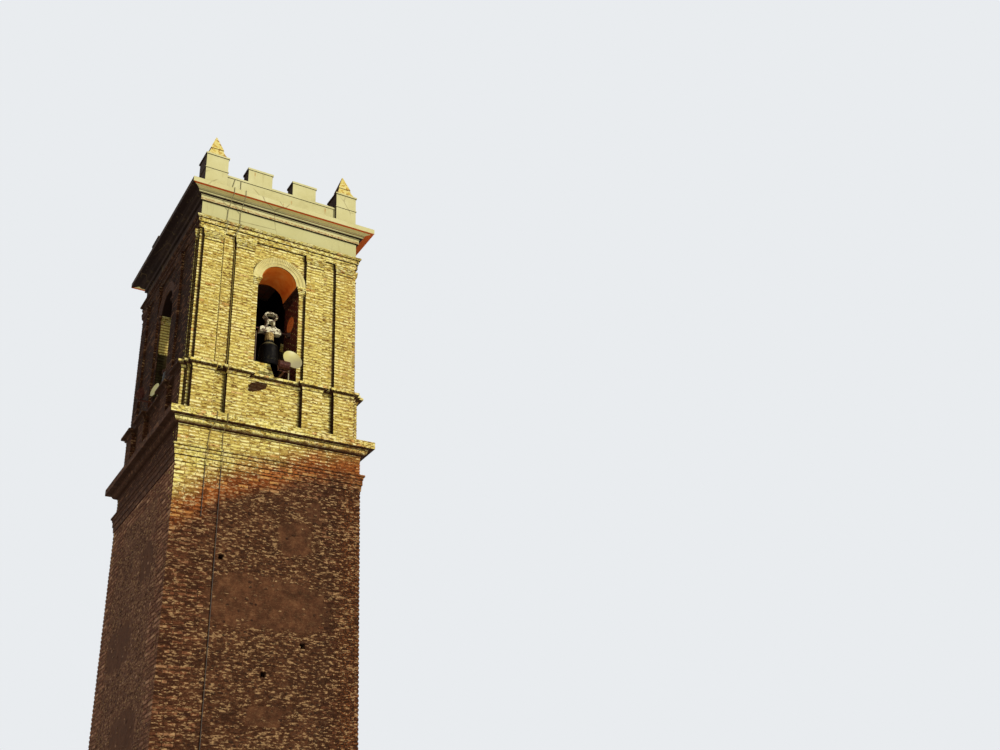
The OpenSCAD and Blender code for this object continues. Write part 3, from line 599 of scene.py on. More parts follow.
def quoin_boxes(half, parity):
    """Bricks of both quoins of one shaft face, and how far each course reaches in from the corner."""
    boxes = []
    reaches = []
    reach = np.ones(2)
    rows = round(shaft_top / shaft_pitch)
    edge = half + shaft_out
    for row in range(rows):
        if row % tooth_rows == 0:
            reach = dice.uniform(quoin_least, quoin_most, 2)
        up = row * shaft_pitch + shaft_bed
        ours = (row + parity) % 2 == 0
        corner = edge + shaft_proud if ours else edge - quoin_lap
        shape = (row, shaft_brick_long, shaft_joint, up, shaft_brick_tall, shaft_proud)
        if row >= rows - full_rows:
            boxes += course(-corner, corner, *shape, deep=(ours, ours))
            reaches.append(np.array([edge, edge]))
        else:
            share = wide_quoins_share if up > wide_quoins_above else 1.0
            wide = reach * share + dice.uniform(-0.07, 0.07, 2)
            boxes += course(-corner, -edge + wide[0], *shape, deep=(ours, False))
            boxes += course(edge - wide[1], corner, *shape, deep=(False, ours))
            reaches.append(wide)
    return np.array(boxes), reaches


def stone_shapes(count):
    """Rough stones: a block rounded into a pebble, and dented in a different way for each."""
    block = new_block()
    bpy.ops.object.mode_set(mode="EDIT")
    bpy.ops.mesh.select_all(action="SELECT")
    bpy.ops.mesh.subdivide(number_cuts=1)
    bpy.ops.transform.tosphere(value=0.6)
    bpy.ops.object.mode_set(mode="OBJECT")
    corners, sides = taken_apart(block)
    corners /= np.abs(corners).max()
    return [corners * dice.uniform(0.76, 1.0, (len(corners), 3)) for _ in range(count)], sides


pebbles, pebble_sides = stone_shapes(7)

# Square holes left by scaffold poles in the front and the back: middle along the front, and foot
putlogs = ((0.03, 8.15), (1.05, 8.96), (-1.25, 11.06))
putlog_wide = 0.15

# The cable down the front of the shaft: its place, the height of its bend, and its lean below that
cable_along = -1.44
cable_bend = 9.0
cable_lean = -0.06
cable_room = 0.045

# Share of the stones that don't show, under smooth render and elsewhere
under_render = 0.86
under_mortar = 0.04


def hidden_share(name, along, up):
    """Chance that no stone shows: certain in a scaffold hole and under the cable on the front, and high where
    the wall is rendered smooth."""
    ends = name in ("front", "back")
    for middle, foot in putlogs if ends else ():
        in_hole = abs(up - foot - putlog_wide / 2) < putlog_wide / 2 - 0.02
        if in_hole and abs(along - middle) < putlog_wide / 2:
            return 1.0
    cable_here = cable_along + cable_lean * max(0.0, 1 - up / cable_bend)
    if name == "front" and abs(along - cable_here) < cable_room:
        return 1.0
    for middle, level_up, half_long, half_tall in end_patches if ends else side_patches:
        ragged = 1 + 0.3 * math.sin(9 * along + 3 * level_up) + 0.3 * math.sin(17 * up + 5 * middle)
        if ((along - middle) / half_long) ** 4 + ((up - level_up) / half_tall) ** 4 < ragged:
            return under_render
    return under_mortar


# Rubble: height from course to course, gap between stones, half their length, depth and height, and lean
rubble_pitch = 0.110
stone_gap = 0.011
stone_half_long = (0.036, 0.090)
stone_half_deep = (0.018, 0.034)
stone_half_tall = (0.028, 0.050)
stone_lean = 0.35


def rubble_points(name, half, reaches):
    """Stones of one face, in rough courses between the quoins."""
    way = -1 if name in ("back", "left") else 1
    points = []
    for up in np.arange(0.10, shaft_top - full_rows * shaft_pitch - 0.03, rubble_pitch):
        reach = reaches[int(up / shaft_pitch)]
        along = -half - shaft_out + reach[0] + 0.02
        while along < half + shaft_out - reach[1] - 0.12:
            wide = dice.uniform(*stone_half_long)
            along += wide + stone_gap
            raised = up + dice.uniform(-0.02, 0.02)
            if dice.random() > hidden_share(name, way * along, raised):
                size = (wide, dice.uniform(*stone_half_deep), dice.uniform(*stone_half_tall))
                stone = pebbles[dice.integers(len(pebbles))] * size
                lean = dice.uniform(-stone_lean, stone_lean)
                leant = stone.copy()
                leant[:, 0] = stone[:, 0] * math.cos(lean) - stone[:, 2] * math.sin(lean)
                leant[:, 2] = stone[:, 0] * math.sin(lean) + stone[:, 2] * math.cos(lean)
                points.append(leant + (along, dice.uniform(0.006, 0.016), raised))
            along += wide
    return np.array(points)


for name, quarter, half, out in faces:
    boxes, reaches = quoin_boxes(half, quarter % 2)
    points = placed(block_points(boxes, 0.004), quarter, out + shaft_out)
    join_blocks(f"shaft_quoins_{name}", points, brick_sides, shaft_brick)
    points = placed(rubble_points(name, half, reaches), quarter, out + shaft_out)
    join_blocks(f"shaft_rubble_{name}", points, pebble_sides, rubble)

# Neck, low frieze and cornice between the shaft and the belfry
# Fillets and coves of cut bricks laid as headers step out from the shaft, with a plain frieze of six brick
# courses between them. The mouldings are solids of the frame, and their joints are in the material, which the
# brick mouldings of the belfry share.
belfry_pitch = 0.0975
wall_thick = 1.1
opening_half = 0.65
# Palettes of the belfry's sides, painted dark as in shade
shaded_belfry_side_bricks = ((0.0, 26, 14, 10), (0.45, 42, 24, 17), (0.8, 58, 34, 25), (1.0, 96, 66, 48))
shaded_belfry_side_bed = ((0.3, 24, 14, 10), (0.7, 50, 31, 23))
# Darkness painted as shade inside the belfry
indoor_shade = (26, 17, 13)

# Heights of dark lines painted as shadow under the fillets and ledges
neck_foot, neck_head = (corner.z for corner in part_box("neck_moulding_ends"))
low_cornice_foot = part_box("mid_cornice_ends")[0].z
capital_foot, capital_head = (corner.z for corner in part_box("capitals"))
architrave_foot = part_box("architrave_ends")[0].z
shadow_line_heights = [neck_foot + share * (neck_head - neck_foot) for share in (0.36, 0.69, 0.885)]
shadow_line_heights += [low_cornice_foot + 0.004, low_cornice_foot + 0.038]
shadow_line_heights += [capital_foot + share * (capital_head - capital_foot) for share in (0.03, 0.3, 0.62)]
shadow_line_heights.append(architrave_foot + 0.19)


def indoors(finish):
    """1 inside the belfry, whose walls are painted dark, as in shade."""
    return (abs(finish.x) < half_x - wall_thick + 0.02) * (abs(finish.y) < half_y - wall_thick + 0.02)


cut = Finish("moulded_brick", shine=0.08)
headers = {
    "Vector": cut.node("ShaderNodeCombineXYZ", sockets={"X": along_face(cut), "Y": cut.z + 0.006}),
    "Color1": (0, 0, 0, 1), "Color2": (1, 1, 1, 1), "Mortar": (0.5, 0.5, 0.5, 1), "Scale": 1.0,
    "Mortar Size": 0.007, "Mortar Smooth": 0.3, "Brick Width": 0.145, "Row Height": belfry_pitch,
}
header_tint = cut.node("ShaderNodeTexBrick", {"offset": 0.5}, headers, "Color").as_number()
header_gap = cut.node("ShaderNodeTexBrick", {"offset": 0.5}, headers, "Fac")
masonry(cut, header_tint, sunlit_bricks, shadow_edge_bricks, shaded_end_bricks, shaded_belfry_side_bricks)
cut_grit = weather(cut, 0.25, 0.6, 0.35)
open_gap = header_gap * cut.noise(30, 3.0).ramp(0.30, 0.52)
cut.over(open_gap * 0.75, (86, 56, 30))
chipped(cut, 0.8)
wander = (cut.noise(6, 4.0) - 0.5) * 0.02
# Shadow lines painted under the fillets, capitals and architrave
for height in shadow_line_heights:
    cut.over((abs(cut.z + wander - height) < 0.012) * 0.75, (64, 36, 20))
# Undersides are painted darker, as in shade.
cut_underside_shade = (0.0 - cut.axis("Normal", "Z")).ramp(0.45, 0.9)
cut.over(cut_underside_shade * 0.7, (60, 36, 22))
cut.over(indoors(cut), indoor_shade)
cut_height = cut_grit * 0.5 - open_gap + cut.noise(14, 4.0) * 0.6
dress(
    cut.done(0.88, cut.bump(cut_height, 0.010)),
    "neck_moulding_ends", "neck_moulding_sides", "mid_cornice_ends", "mid_cornice_sides",
    "string_ends", "string_sides", "capitals", "imposts", "architrave_ends", "architrave_sides",
    "front_upstand",
)

# The four piers of a face: the inner two from the middle, and the outer two from the corner
inner_pilaster = 1.12
corner_inset = 0.40
pier_half = 0.28
# Colour of the shadow painted beside the piers
pier_shadow_colour = (60, 36, 22)

# Shadow of the floodlight, painted on the front below it: middle, climb to the right, half length and half
# height
lamp_shadow_x = -0.48
lamp_shadow_z = 16.33
lamp_shadow_climb = 0.45
lamp_shadow_half_long = 0.29
lamp_shadow_half_tall = 0.155
# Top of the front yoke's shadow, painted on the jambs of the left opening
yoke_shadow_top = 18.67


def painted_pier_shadows(finish):
    """Painted shadow in the corners left of the front's piers, and on the inner returns of the side piers."""
    above_neck = finish.z > low_cornice_foot
    for middle in (corner_inset - half_x, -inner_pilaster, inner_pilaster, half_x - corner_inset):
        beside = finish.x - (middle - pier_half)
        corner = beside.ramp(-0.09, -0.05) * (beside < 0.0) * above_neck
        corner = corner * (finish.y < 0.05 - half_y) * (finish.y > -half_y - 0.03)
        finish.over(corner * 0.9, pier_shadow_colour)
    side_return = (abs(finish.x) > half_x + 0.012) * (abs(finish.x) < half_x + 0.07) * above_neck
    finish.over(side_return * (finish.y < 0.35 - half_y) * 0.9, pier_shadow_colour)


def coloured_jambs(finish, lit):
    """Red-brown jambs in the front and back openings, and painted shade on those of the side openings, but on
    the left one only up to the painted shadow of the front yoke, with painted sunlight in the lit colour
    above it."""
    reveal = (abs(finish.x) < opening_half + 0.02) * (abs(finish.y) > half_y - wall_thick)
    reveal = reveal * (1.0 - facing_ends(finish))
    finish.over(reveal * 0.55, (112, 52, 36))
    jamb = (abs(finish.x) > half_x - wall_thick) * (abs(finish.x) < half_x - 0.004)
    jamb = jamb * (abs(finish.y) < opening_half + 0.02)
    ragged = (finish.noise(5, 5.0) - 0.5) * 0.4
    low_down = (finish.z + ragged).ramp(yoke_shadow_top + 0.05, yoke_shadow_top - 0.05)
    # Painted shade below the yoke's shadow line, on the right opening and on jambs facing the back
    black = low_down.greater(finish.x > 0.0).greater(finish.axis("Normal", "Y") > 0.5)
    finish.over(jamb * (1.0 - black) * 0.7, lit)
    finish.over(jamb * black * 0.95, (26, 16, 12))


def painted_lamp_shadow(finish):
    """The floodlight's shadow, painted dark on the front below it."""
    along = finish.x - lamp_shadow_x
    level_up = finish.z - lamp_shadow_z - along * lamp_shadow_climb
    ragged = (finish.noise(9, 5.0) - 0.5) * 1.2
    inside = 1.0 - (abs(along) / lamp_shadow_half_long) ** 4 - (abs(level_up) / lamp_shadow_half_tall) ** 4
    lamp_shadow = (inside + ragged).ramp(0.0, 0.3) * (finish.y < 0.05 - half_y)
    finish.over(lamp_shadow * 0.95, (48, 16, 12))


belfry_clay = Finish("belfry_brick", shine=0.08)
masonry(belfry_clay, brick_tint(belfry_clay), sunlit_bricks, shadow_edge_bricks, shaded_end_bricks, shaded_belfry_side_bricks)
belfry_grit = weather(belfry_clay, 0.12, 0.45, 0.35)
chipped(belfry_clay, 0.95)
painted_pier_shadows(belfry_clay)
coloured_jambs(belfry_clay, (255, 236, 138))
painted_lamp_shadow(belfry_clay)
belfry_brick = belfry_clay.done(0.84 + belfry_grit * 0.12, belfry_clay.bump(belfry_grit, 0.006))

joints = Finish("belfry_mortar", shine=0.05)
masonry(joints, joints.noise(7.0, 4.0, 0.6), sunlit_bed, shadow_edge_bed, shaded_end_bed, shaded_belfry_side_bed)
joint_grit = weather(joints, 0.15, 0.8, 0.3)
painted_pier_shadows(joints)
coloured_jambs(joints, (140, 96, 40))
painted_lamp_shadow(joints)
joints.over(indoors(joints), indoor_shade)
belfry_mortar = joints.done(0.93, joints.bump(joint_grit, 0.010))
dress(
    belfry_mortar,
    "low_frieze_ends", "low_frieze_sides", "base_walls_ends", "base_walls_sides", "pedestals",
    "end_piers", "side_piers", "pilasters",
)

belfry_brick_tall = 0.056
belfry_brick_long = 0.285
belfry_header = 0.14
belfry_joint = 0.012
belfry_proud = 0.010
belfry_worn = 0.003
belfry_lap = 0.155


def rows_between(low, high):
    """Feet of the brick courses between two heights."""
    count = round((high - low) / belfry_pitch)
    pitch = (high - low) / count
    return [low + (i + 0.5) * pitch - belfry_brick_tall / 2 for i in range(count)]


def plain_courses(half, parity, low, high, out):
    """Courses round the whole tower, laced at the corners."""
    boxes = []
    for row, up in enumerate(rows_between(low, high)):
        ours = (row + parity) % 2 == 0
        corner = half + out + (belfry_proud if ours else -belfry_lap)
        laid = course(-corner, corner, row, belfry_brick_long, belfry_joint, up, belfry_brick_tall,
                      belfry_proud, deep=(ours, ours))
        boxes += [[a, b, c + out, d + out, e, f] for a, b, c, d, e, f in laid]
    return boxes


def lay(name, boxes, quarter, out):
    """Joins the thin bricks of one face."""
    points = placed(block_points(np.array(boxes), belfry_worn), quarter, out)
    join_blocks(name, points, brick_sides, belfry_brick)


frieze_low, frieze_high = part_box("low_frieze_ends")
frieze_out = frieze_high.x - half_x
for name, quarter, half, out in faces:
    boxes = plain_courses(half, quarter % 2, frieze_low.z, frieze_high.z, frieze_out)
    lay(f"low_frieze_bricks_{name}", boxes, quarter, out)

# Belfry walls
# Thin bricks in thick ochre joints, painted golden as sunlit where they face the front and back, and dark
# brown as in shade on the sides. Pedestals and pilasters are laced into the walls and stand forward of them.
# Each of the four walls has one round-headed opening with brick jambs.
pedestal_low, pedestal_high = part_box("pedestals")
pilaster_low, pilaster_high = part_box("pilasters")
impost_low, impost_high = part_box("imposts")
pedestal_out = pedestal_high.x - half_x
pilaster_out = pilaster_high.x - half_x
pilaster_wide = 0.55
pedestal_wide = 0.60
springing = impost_high.z
arch_outer = 0.838
capital_overhang = 0.055


def pier_boxes(middle, wide, out, row, up):
    """One course of a pilaster or pedestal, laid right through, with its returns."""
    edge = wide / 2 + 0.007
    half_joint = belfry_joint / 2
    cuts = (-edge, 0.0, edge) if row % 2 else (-edge, belfry_header - edge, edge - belfry_header, edge)
    return [
        [
            middle + start + (half_joint if start > -edge else 0),
            middle + end - (half_joint if end < edge else 0),
            brick_back,
            out + belfry_proud - 0.002 + dice.uniform(-0.003, 0.003),
            up + dice.uniform(-0.002, 0.002),
            up + belfry_brick_tall + dice.uniform(-0.003, 0.003),
        ]
        for start, end in zip(cuts, cuts[1:])
    ]


def gap_at(up):
    """Half the width that a course at this height leaves free for the opening and its arch."""
    if up > springing:
        over = arch_outer ** 2 - (up - springing) ** 2
        return math.sqrt(over) if over > 0 else 0.0
    if up + belfry_brick_tall > impost_low.z:
        return arch_outer + 0.012
    return opening_half


def wall_courses(half, parity, low, high, stand, wide, out, has_opening):
    """Courses of one wall between its corners, piers and opening, and the courses of the piers, whose inner
    and outer middles are given."""
    inner, outer = stand
    corner = half + belfry_proud
    boxes = []
    for row, up in enumerate(rows_between(low, high)):
        at_capital = up + belfry_brick_tall > pilaster_high.z
        pier = wide / 2 + (capital_overhang if at_capital else 0.0)
        spans = []
        if (row + parity) % 2 == 0:
            spans += [(-corner, -outer - pier, (True, False)), (outer + pier, corner, (False, True))]
        spans += [(pier - outer, -inner - pier, (False, False)), (inner + pier, outer - pier, (False, False))]
        gap = gap_at(up) if has_opening else 0.0
        middle_edge = inner - pier
        if gap == 0.0:
            spans.append((-middle_edge, middle_edge, (False, False)))
        elif gap < middle_edge - 0.02:
            spans += [(-middle_edge, -gap, (False, False)), (gap, middle_edge, (False, False))]
        for start, end, deep in spans:
            boxes += course(start, end, row, belfry_brick_long, belfry_joint, up, belfry_brick_tall,
                            belfry_proud, deep=deep)
        if not at_capital:
            for middle in (-outer, -inner, inner, outer):
                boxes += pier_boxes(middle, wide, out, row, up)
    return boxes


def jamb_boxes(row_feet):
    """Bricks on both jambs of an opening, along the thickness of the wall."""
    boxes = []
    for row, up in enumerate(row_feet):
        if up + belfry_brick_tall > impost_low.z:
            continue
        shift = belfry_header * (row % 2)
        for start in np.arange(-wall_thick - shift + 0.01, -0.05, belfry_brick_long):
            deep = (max(start, -wall_thick), min(start + belfry_brick_long - 0.013, -0.022))
            for side in (-1, 1):
                inner = side * (opening_half - 0.005 - dice.uniform(0, 0.003))
                outer = side * (opening_half + 0.02)
                boxes.append([min(inner, outer), max(inner, outer), *deep, up, up + belfry_brick_tall])
    return boxes


wall_rows = rows_between(pilaster_low.z, architrave_foot)
for name, quarter, half, out in faces:
    stand = (inner_pilaster, half - corner_inset)
    base = wall_courses(half, quarter % 2, pedestal_low.z, pedestal_high.z, stand, pedestal_wide,
                        pedestal_out, False)
    walls = wall_courses(half, quarter % 2, pilaster_low.z, architrave_foot, stand, pilaster_wide,
                         pilaster_out, True)
    for label, boxes in (("base", base), ("wall", walls), ("jamb", jamb_boxes(wall_rows))):
        lay(f"belfry_{label}_bricks_{name}", boxes, quarter, out)

# Arches over the openings
# Blocks of brick under a smooth coat of orange lime wash, painted dark as in shade in the side arches, and a
# moulded archivolt of thin bricks on edge, rendered pale where it faces the front and back and painted dark
# as in shade elsewhere, whose radial joints show through at the crown.
washed_radius = 0.575


def arch_radius(finish):
    """Distance from the axis of the nearest arch."""
    across = abs(finish.x).lesser(abs(finish.y))
    upward = finish.z - springing
    return (across * across + upward * upward) ** 0.5


soffit = Finish("arch_brick", shine=0.08)
masonry(soffit, soffit.noise(3.0, 6.0), sunlit_bed, shadow_edge_bed, shaded_end_bed, shaded_belfry_side_bed)
soffit_grit = weather(soffit, 0.2, 0.8, 0.3)
wash = soffit.colours(
    soffit.noise(2.5, 6.0, 0.6), (0.3, 234, 112, 32), (0.5, 250, 142, 50), (0.7, 255, 172, 82)
)
# In the side arches the wash is painted dark, as in shade.
wash = soffit.mix(abs(soffit.x) > half_x - wall_thick, wash, (36, 22, 16))
soffit.over(arch_radius(soffit) < washed_radius, wash)
soffit.over(indoors(soffit), indoor_shade)
dress(soffit.done(0.9, soffit.bump(soffit_grit, 0.006)), "arches")

ring = Finish("archivolt_brick", shine=0.1)
wedge_count = 44
angle = ring.node("ShaderNodeMath", {"operation": "ARCTAN2"}, {0: ring.z - springing, 1: along_face(ring)})
wedge = ring.node("ShaderNodeMath", {"operation": "FRACT"}, {0: angle * (wedge_count / math.pi)})
wedge_joint = abs(wedge - 0.5).ramp(0.34, 0.46)
crown = (ring.z - springing).ramp(0.25, 0.62)
ring_pale = ring.colours(ring.noise(6, 5.0), (0.3, 205, 188, 116), (0.7, 228, 216, 148))
# Painted dark as in shade where the archivolt doesn't face the front or back
ring_shaded = ring.colours(ring.noise(6, 5.0), (0.3, 44, 27, 20), (0.7, 70, 45, 34))
ring.colour = ring.mix(painted_sun_mask(ring), ring_shaded, ring_pale)
ring_joint = wedge_joint * crown * ring.noise(24, 3.0).ramp(0.32, 0.55)
ring.over(ring_joint * 0.85, (104, 70, 36))
ring_fleck = ring.noise(50, 5.0, 0.7)
ring.over(ring_fleck.ramp(0.58, 0.72) * 0.5, (120, 84, 48))
dress(ring.done(0.86, ring.bump(ring_fleck * 0.5 - ring_joint, 0.008)), "archivolts")

# Frieze, main cornice and parapet
# Brick run over with smooth cream render, painted dark as in shade where it faces the sides. One line of bare
# brick shows under the cornice, painted lit and shaded like the render, its broad underside is terracotta
# tile, painted dark as in shade on the left side, and rust has run from iron fixings on the merlons.
cornice_low, cornice_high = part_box("cornice_ends")
brick_line_tall = 0.07
tile_up = 0.24
tile_out = 0.375
rust_half_wide = 0.035

# Rust that has run down the front: middle, top and length
rust_runs = ((-0.92, 23.86, 0.34), (1.47, 23.30, 0.30), (0.32, 23.20, 0.22), (-0.15, 22.55, 0.10))

plaster = Finish("cream_render", shine=0.12)
cream_cloud = plaster.noise(0.9, 7.0, 0.68)
cream = plaster.colours(cream_cloud, (0.25, 188, 178, 120), (0.45, 208, 200, 142), (0.7, 218, 212, 158))
greenish = plaster.mix((plaster.z < cornice_low.z) * 0.6, cream, (194, 190, 132))
# Render that does not face the front or back is painted dark, as in shade.
shaded_render = plaster.colours(cream_cloud, (0.3, 34, 22, 17), (0.7, 60, 43, 33))
plaster.colour = plaster.mix(painted_sun_mask(plaster), shaded_render, greenish)
upward_face = plaster.axis("Normal", "Z").ramp(0.4, 0.8)
plaster.over(upward_face, (150, 138, 104))
line_band = (plaster.z > cornice_low.z + 0.002) * (plaster.z < cornice_low.z + brick_line_tall)
brick_line = plaster.noise(13, 4.0, 0.65, (1, 1, 3)).ramp(0.44, 0.56)
# Bare brick, painted lit where it faces the front and back and in shade elsewhere
bare_brick = plaster.mix(painted_sun_mask(plaster), (40, 24, 18), (146, 86, 38))
plaster.over(line_band * brick_line * 0.85, bare_brick)
reach_out = (abs(plaster.x) - half_x).greater(abs(plaster.y) - half_y)
under_front = plaster.mix(reach_out > tile_out, (222, 208, 144), (204, 92, 34))
# On the left side the broad underside is painted dark, as in shade; on the right it is terracotta.
under_side = plaster.mix(plaster.x > 0.0, (40, 25, 19), (210, 98, 38))
under = plaster.mix(facing_ends(plaster), under_side, under_front)
broad = ((0.0 - plaster.axis("Normal", "Z")) > 0.8) * (plaster.z > cornice_low.z + tile_up)
plaster.over(broad * (plaster.z < cornice_high.z), under)
drips = plaster.noise(7, 5.0, 0.6, (1, 1, 0.12)).ramp(0.56, 0.76)
plaster.over(drips * 0.3, (150, 128, 78))
plaster.over(indoors(plaster), indoor_shade)


def rust_run(finish, middle, top, long):
    """A streak that fades downwards from its top."""
    near = (1.0 - abs(finish.x - middle) / rust_half_wide).ramp(0.0, 1.0)
    run = (finish.z - (top - long)).ramp(0.0, long) * (finish.z < top)
    return near * run * finish.noise(22, 4.0, 0.6, (1, 1, 0.3)).ramp(0.34, 0.6)


streaks = highest(rust_run(plaster, *run) for run in rust_runs)
plaster.over(streaks * painted_sun_mask(plaster) * 0.85, (176, 116, 40))
cracks = plaster.node(
    "ShaderNodeTexVoronoi", {"feature": "DISTANCE_TO_EDGE"},
    {"Vector": plaster.node("ShaderNodeTexCoord", output="Object"), "Scale": 0.55}, "Distance"
)
crack = (cracks + plaster.noise(5, 4.0) * 0.02).ramp(0.020, 0.012) * plaster.noise(0.7, 2.0).ramp(0.5, 0.6)
plaster.over(crack * 0.5, (112, 92, 58))
plaster_fine = plaster.noise(70, 5.0, 0.6)
plaster_height = plaster_fine * 0.25 + plaster.noise(3.5, 4.0) - crack * 0.6
dress(
    plaster.done(0.82 + plaster_fine * 0.1, plaster.bump(plaster_height, 0.008)),
    "frieze_ends", "frieze_sides", "cornice_ends", "cornice_sides", "parapet", "copings", "corner_blocks",
)

# The two brick bands of the architrave: distance out, and foot and head over its own foot
fascias = ((0.05, 0.0, 0.188), (0.085, 0.193, 0.318))
for name, quarter, half, out in faces:
    boxes = []
    for fascia_out, low, high in fascias:
        boxes += plain_courses(half, quarter % 2, architrave_foot + low, architrave_foot + high, fascia_out)
    lay(f"architrave_bricks_{name}", boxes, quarter, out)

# Corner pinnacles
# Two slopes of a pyramid, built of small tiles and broken bricks in lime mortar, painted golden as sunlit
# where they face the front and back and dark as in shade on the sides, with brown spots. An open joint runs
# round where the slopes meet.
knee_below_tip = 0.602
spire = Finish("pinnacle_brick", shine=0.08)
spire_cell = spire.node(
    "ShaderNodeTexVoronoi",
    sockets={"Vector": spire.node("ShaderNodeTexCoord", output="Object"), "Scale": 13.0},
    output="Color",
).as_number()
spire_sunlit = spire.colours(
    spire_cell, (0.10, 142, 84, 36), (0.22, 196, 156, 72), (0.4, 220, 198, 104), (0.8, 234, 218, 140)
)
spire_shaded = spire.colours(spire_cell, (0.2, 40, 26, 20), (0.8, 92, 68, 50))
# Faces toward the front and back are painted sunlit, the others painted in shade.
spire_lit = abs(spire.axis("Normal", "Y")).ramp(0.3, 0.6)
spire.colour = spire.mix(spire_lit, spire_shaded, spire_sunlit)
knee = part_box("pinnacles")[1].z - knee_below_tip
spire.over((abs(spire.z - knee) < 0.011) * 0.8, (84, 54, 28))
spire_fleck = spire.noise(34, 5.0, 0.7)
spire.over(spire_fleck.ramp(0.57, 0.66) * 0.7, (104, 62, 28))
dress(spire.done(0.88, spire.bump(spire_fleck, 0.014)), "pinnacles")

# Floors
# The belfry floor, the roof terrace and the floor at the foot: slabs between the walls, laid with square red
# clay tiles on a lime bed, dusty and worn.
paving = Finish("floor_tile")
tile_side = 0.25
tiles = {
    "Vector": paving.node("ShaderNodeTexCoord", output="Object"),
    "Color1": tone(150, 84, 56), "Color2": tone(182, 112, 76), "Mortar": tone(120, 104, 84), "Scale": 1.0,
    "Mortar Size": 0.006, "Brick Width": tile_side, "Row Height": tile_side,
}
paving.colour = paving.node("ShaderNodeTexBrick", {"offset": 0.0}, tiles, "Color")
tile_gap = paving.node("ShaderNodeTexBrick", {"offset": 0.0}, tiles, "Fac")
dust = paving.noise(2.4, 6.0, 0.65)
paving.over(dust.ramp(0.4, 0.7) * 0.6, (148, 130, 104))
dress(paving.done(0.8, paving.bump(dust * 0.4 - tile_gap, 0.006)), "floors")

# Bells
# Cast bronze, nearly black, with lime and pigeon streaks on the crown. Turned moulding rings run round the
# sound bow and the shoulder. The front bell and the smaller left bell each turn on their own axle.

# Moulding rings: share of the bell's height, and half thickness
bell_rings = ((0.045, 0.009), (0.15, 0.006), (0.185, 0.006), (0.70, 0.005), (0.74, 0.005))


def bell_bronze(name, crown_height):
    """Bronze that is limed from the crown's height up, with dust and a painted sheen on its shoulder."""
    bronze = Finish(name, shine=0.2)
    patina = bronze.clouded(
        (9, 6.0, 0.65), (0.25, 9, 7, 6), (0.5, 16, 13, 11), (0.68, 30, 28, 21), (0.85, 62, 64, 50)
    )
    streak = bronze.noise(26, 5.0, 0.6, (1, 1, 0.1)).ramp(0.54, 0.72)
    bronze.over(streak * 0.35, (104, 92, 62))
    # Dust on upward faces, which also stands for a painted sheen along the shoulder
    dust_and_sheen = bronze.axis("Normal", "Z").ramp(0.35, 0.7) * bronze.noise(40, 4.0).ramp(0.3, 0.5)
    bronze.over(dust_and_sheen * 0.7, (190, 178, 126))
    pale_crown = (bronze.z + (bronze.noise(18, 5.0, 0.65) - 0.5) * 0.16 - crown_height).ramp(0.0, 0.03)
    lime_shade = bronze.colours(
        bronze.noise(34, 4.0, 0.65), (0.42, 96, 62, 36), (0.52, 186, 158, 92), (0.7, 220, 202, 140)
    )
    bronze.over(pale_crown, lime_shade)
    roughness = pale_crown * 0.3 + patina * 0.2 + 0.38
    return bronze.done(roughness, bronze.bump(patina, 0.002), 0.75 - pale_crown * 0.6)


def bell_girth(node, centre, height):
    """Outer radius of a bell at a height, read from the frame's solid."""
    rim = {}
    for corner in node.data.vertices:
        radius = math.hypot(corner.co.x - centre.x, corner.co.y - centre.y)
        level_up = round(corner.co.z, 3)
        rim[level_up] = max(radius, rim.get(level_up, 0.0))
    heights = sorted(rim)
    return float(np.interp(height, heights, [rim[h] for h in heights]))


def rings_for(side, body, material):
    """Moulding rings of one bell, at shares of its height."""
    low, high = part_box(f"{side}_bell")
    centre = (low + high) / 2
    for number, (share, thick) in enumerate(bell_rings):
        height = low.z + share * (high.z - low.z)
        radius = bell_girth(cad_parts[f"{side}_bell"], centre, height)
        bpy.ops.object.select_all(action="DESELECT")
        bpy.ops.mesh.primitive_torus_add(
            location=(centre.x, centre.y, height), major_radius=radius - thick * 0.3, minor_radius=thick,
            major_segments=64, minor_segments=8,
        )
        bpy.ops.object.transform_apply(location=True, rotation=True, scale=True)
        bpy.ops.object.shade_smooth()
        ring_piece = bpy.context.object
        ring_piece.name = f"{side}_bell_ring_{number}"
        ring_piece.data.materials.append(material)
        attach(ring_piece, body)


front_low, front_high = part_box("front_bell")
left_low, left_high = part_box("left_bell")
for side, top, limed in (("front", front_high.z, 0.27), ("left", left_high.z, 0.17)):
    cast = bell_bronze(f"{side}_bell_bronze", top - limed)
    dress(cast, f"{side}_bell")
    rings_for(side, f"{side}_bell_body", cast)

# Yokes, axles, bearings and clappers
# Each yoke is an open cast-iron frame, painted cream and rusting in patches, with the bell bolted under it.
# The axles run in plain iron bearings on brackets in the jambs. The clappers are forged iron.
paint = Finish("yoke_paint")
paint_cloud = paint.clouded(
    (12, 6.0, 0.65), (0.25, 196, 182, 132), (0.55, 226, 218, 178), (0.8, 236, 230, 200)
)
rust_and_shadow_edge = paint.noise(9, 5.0, 0.6).ramp(0.48, 0.53)
paint.over(rust_and_shadow_edge * 0.9, (74, 46, 30))
yoke_paint = paint.done(0.5 + rust_and_shadow_edge * 0.35, paint.bump(paint_cloud - rust_and_shadow_edge, 0.003))
dress(yoke_paint, "front_yoke", "left_yoke")

iron = Finish("bare_iron")
iron_cloud = iron.clouded((16, 6.0, 0.7), (0.25, 46, 34, 30), (0.5, 82, 52, 38), (0.75, 128, 78, 48))
bare_iron = iron.done(0.62, iron.bump(iron_cloud, 0.003), 0.35)
dress(bare_iron, "bearings", "front_axle", "left_axle", "front_clapper", "left_clapper")

# Bolt heads on the front yoke: along it and up from the axle
bolt_places = ((-0.27, -0.06), (0.27, -0.06), (-0.14, 0.06), (0.14, 0.06), (-0.10, 0.34), (0.10, 0.34),
               (-0.185, 0.47), (0.185, 0.47))


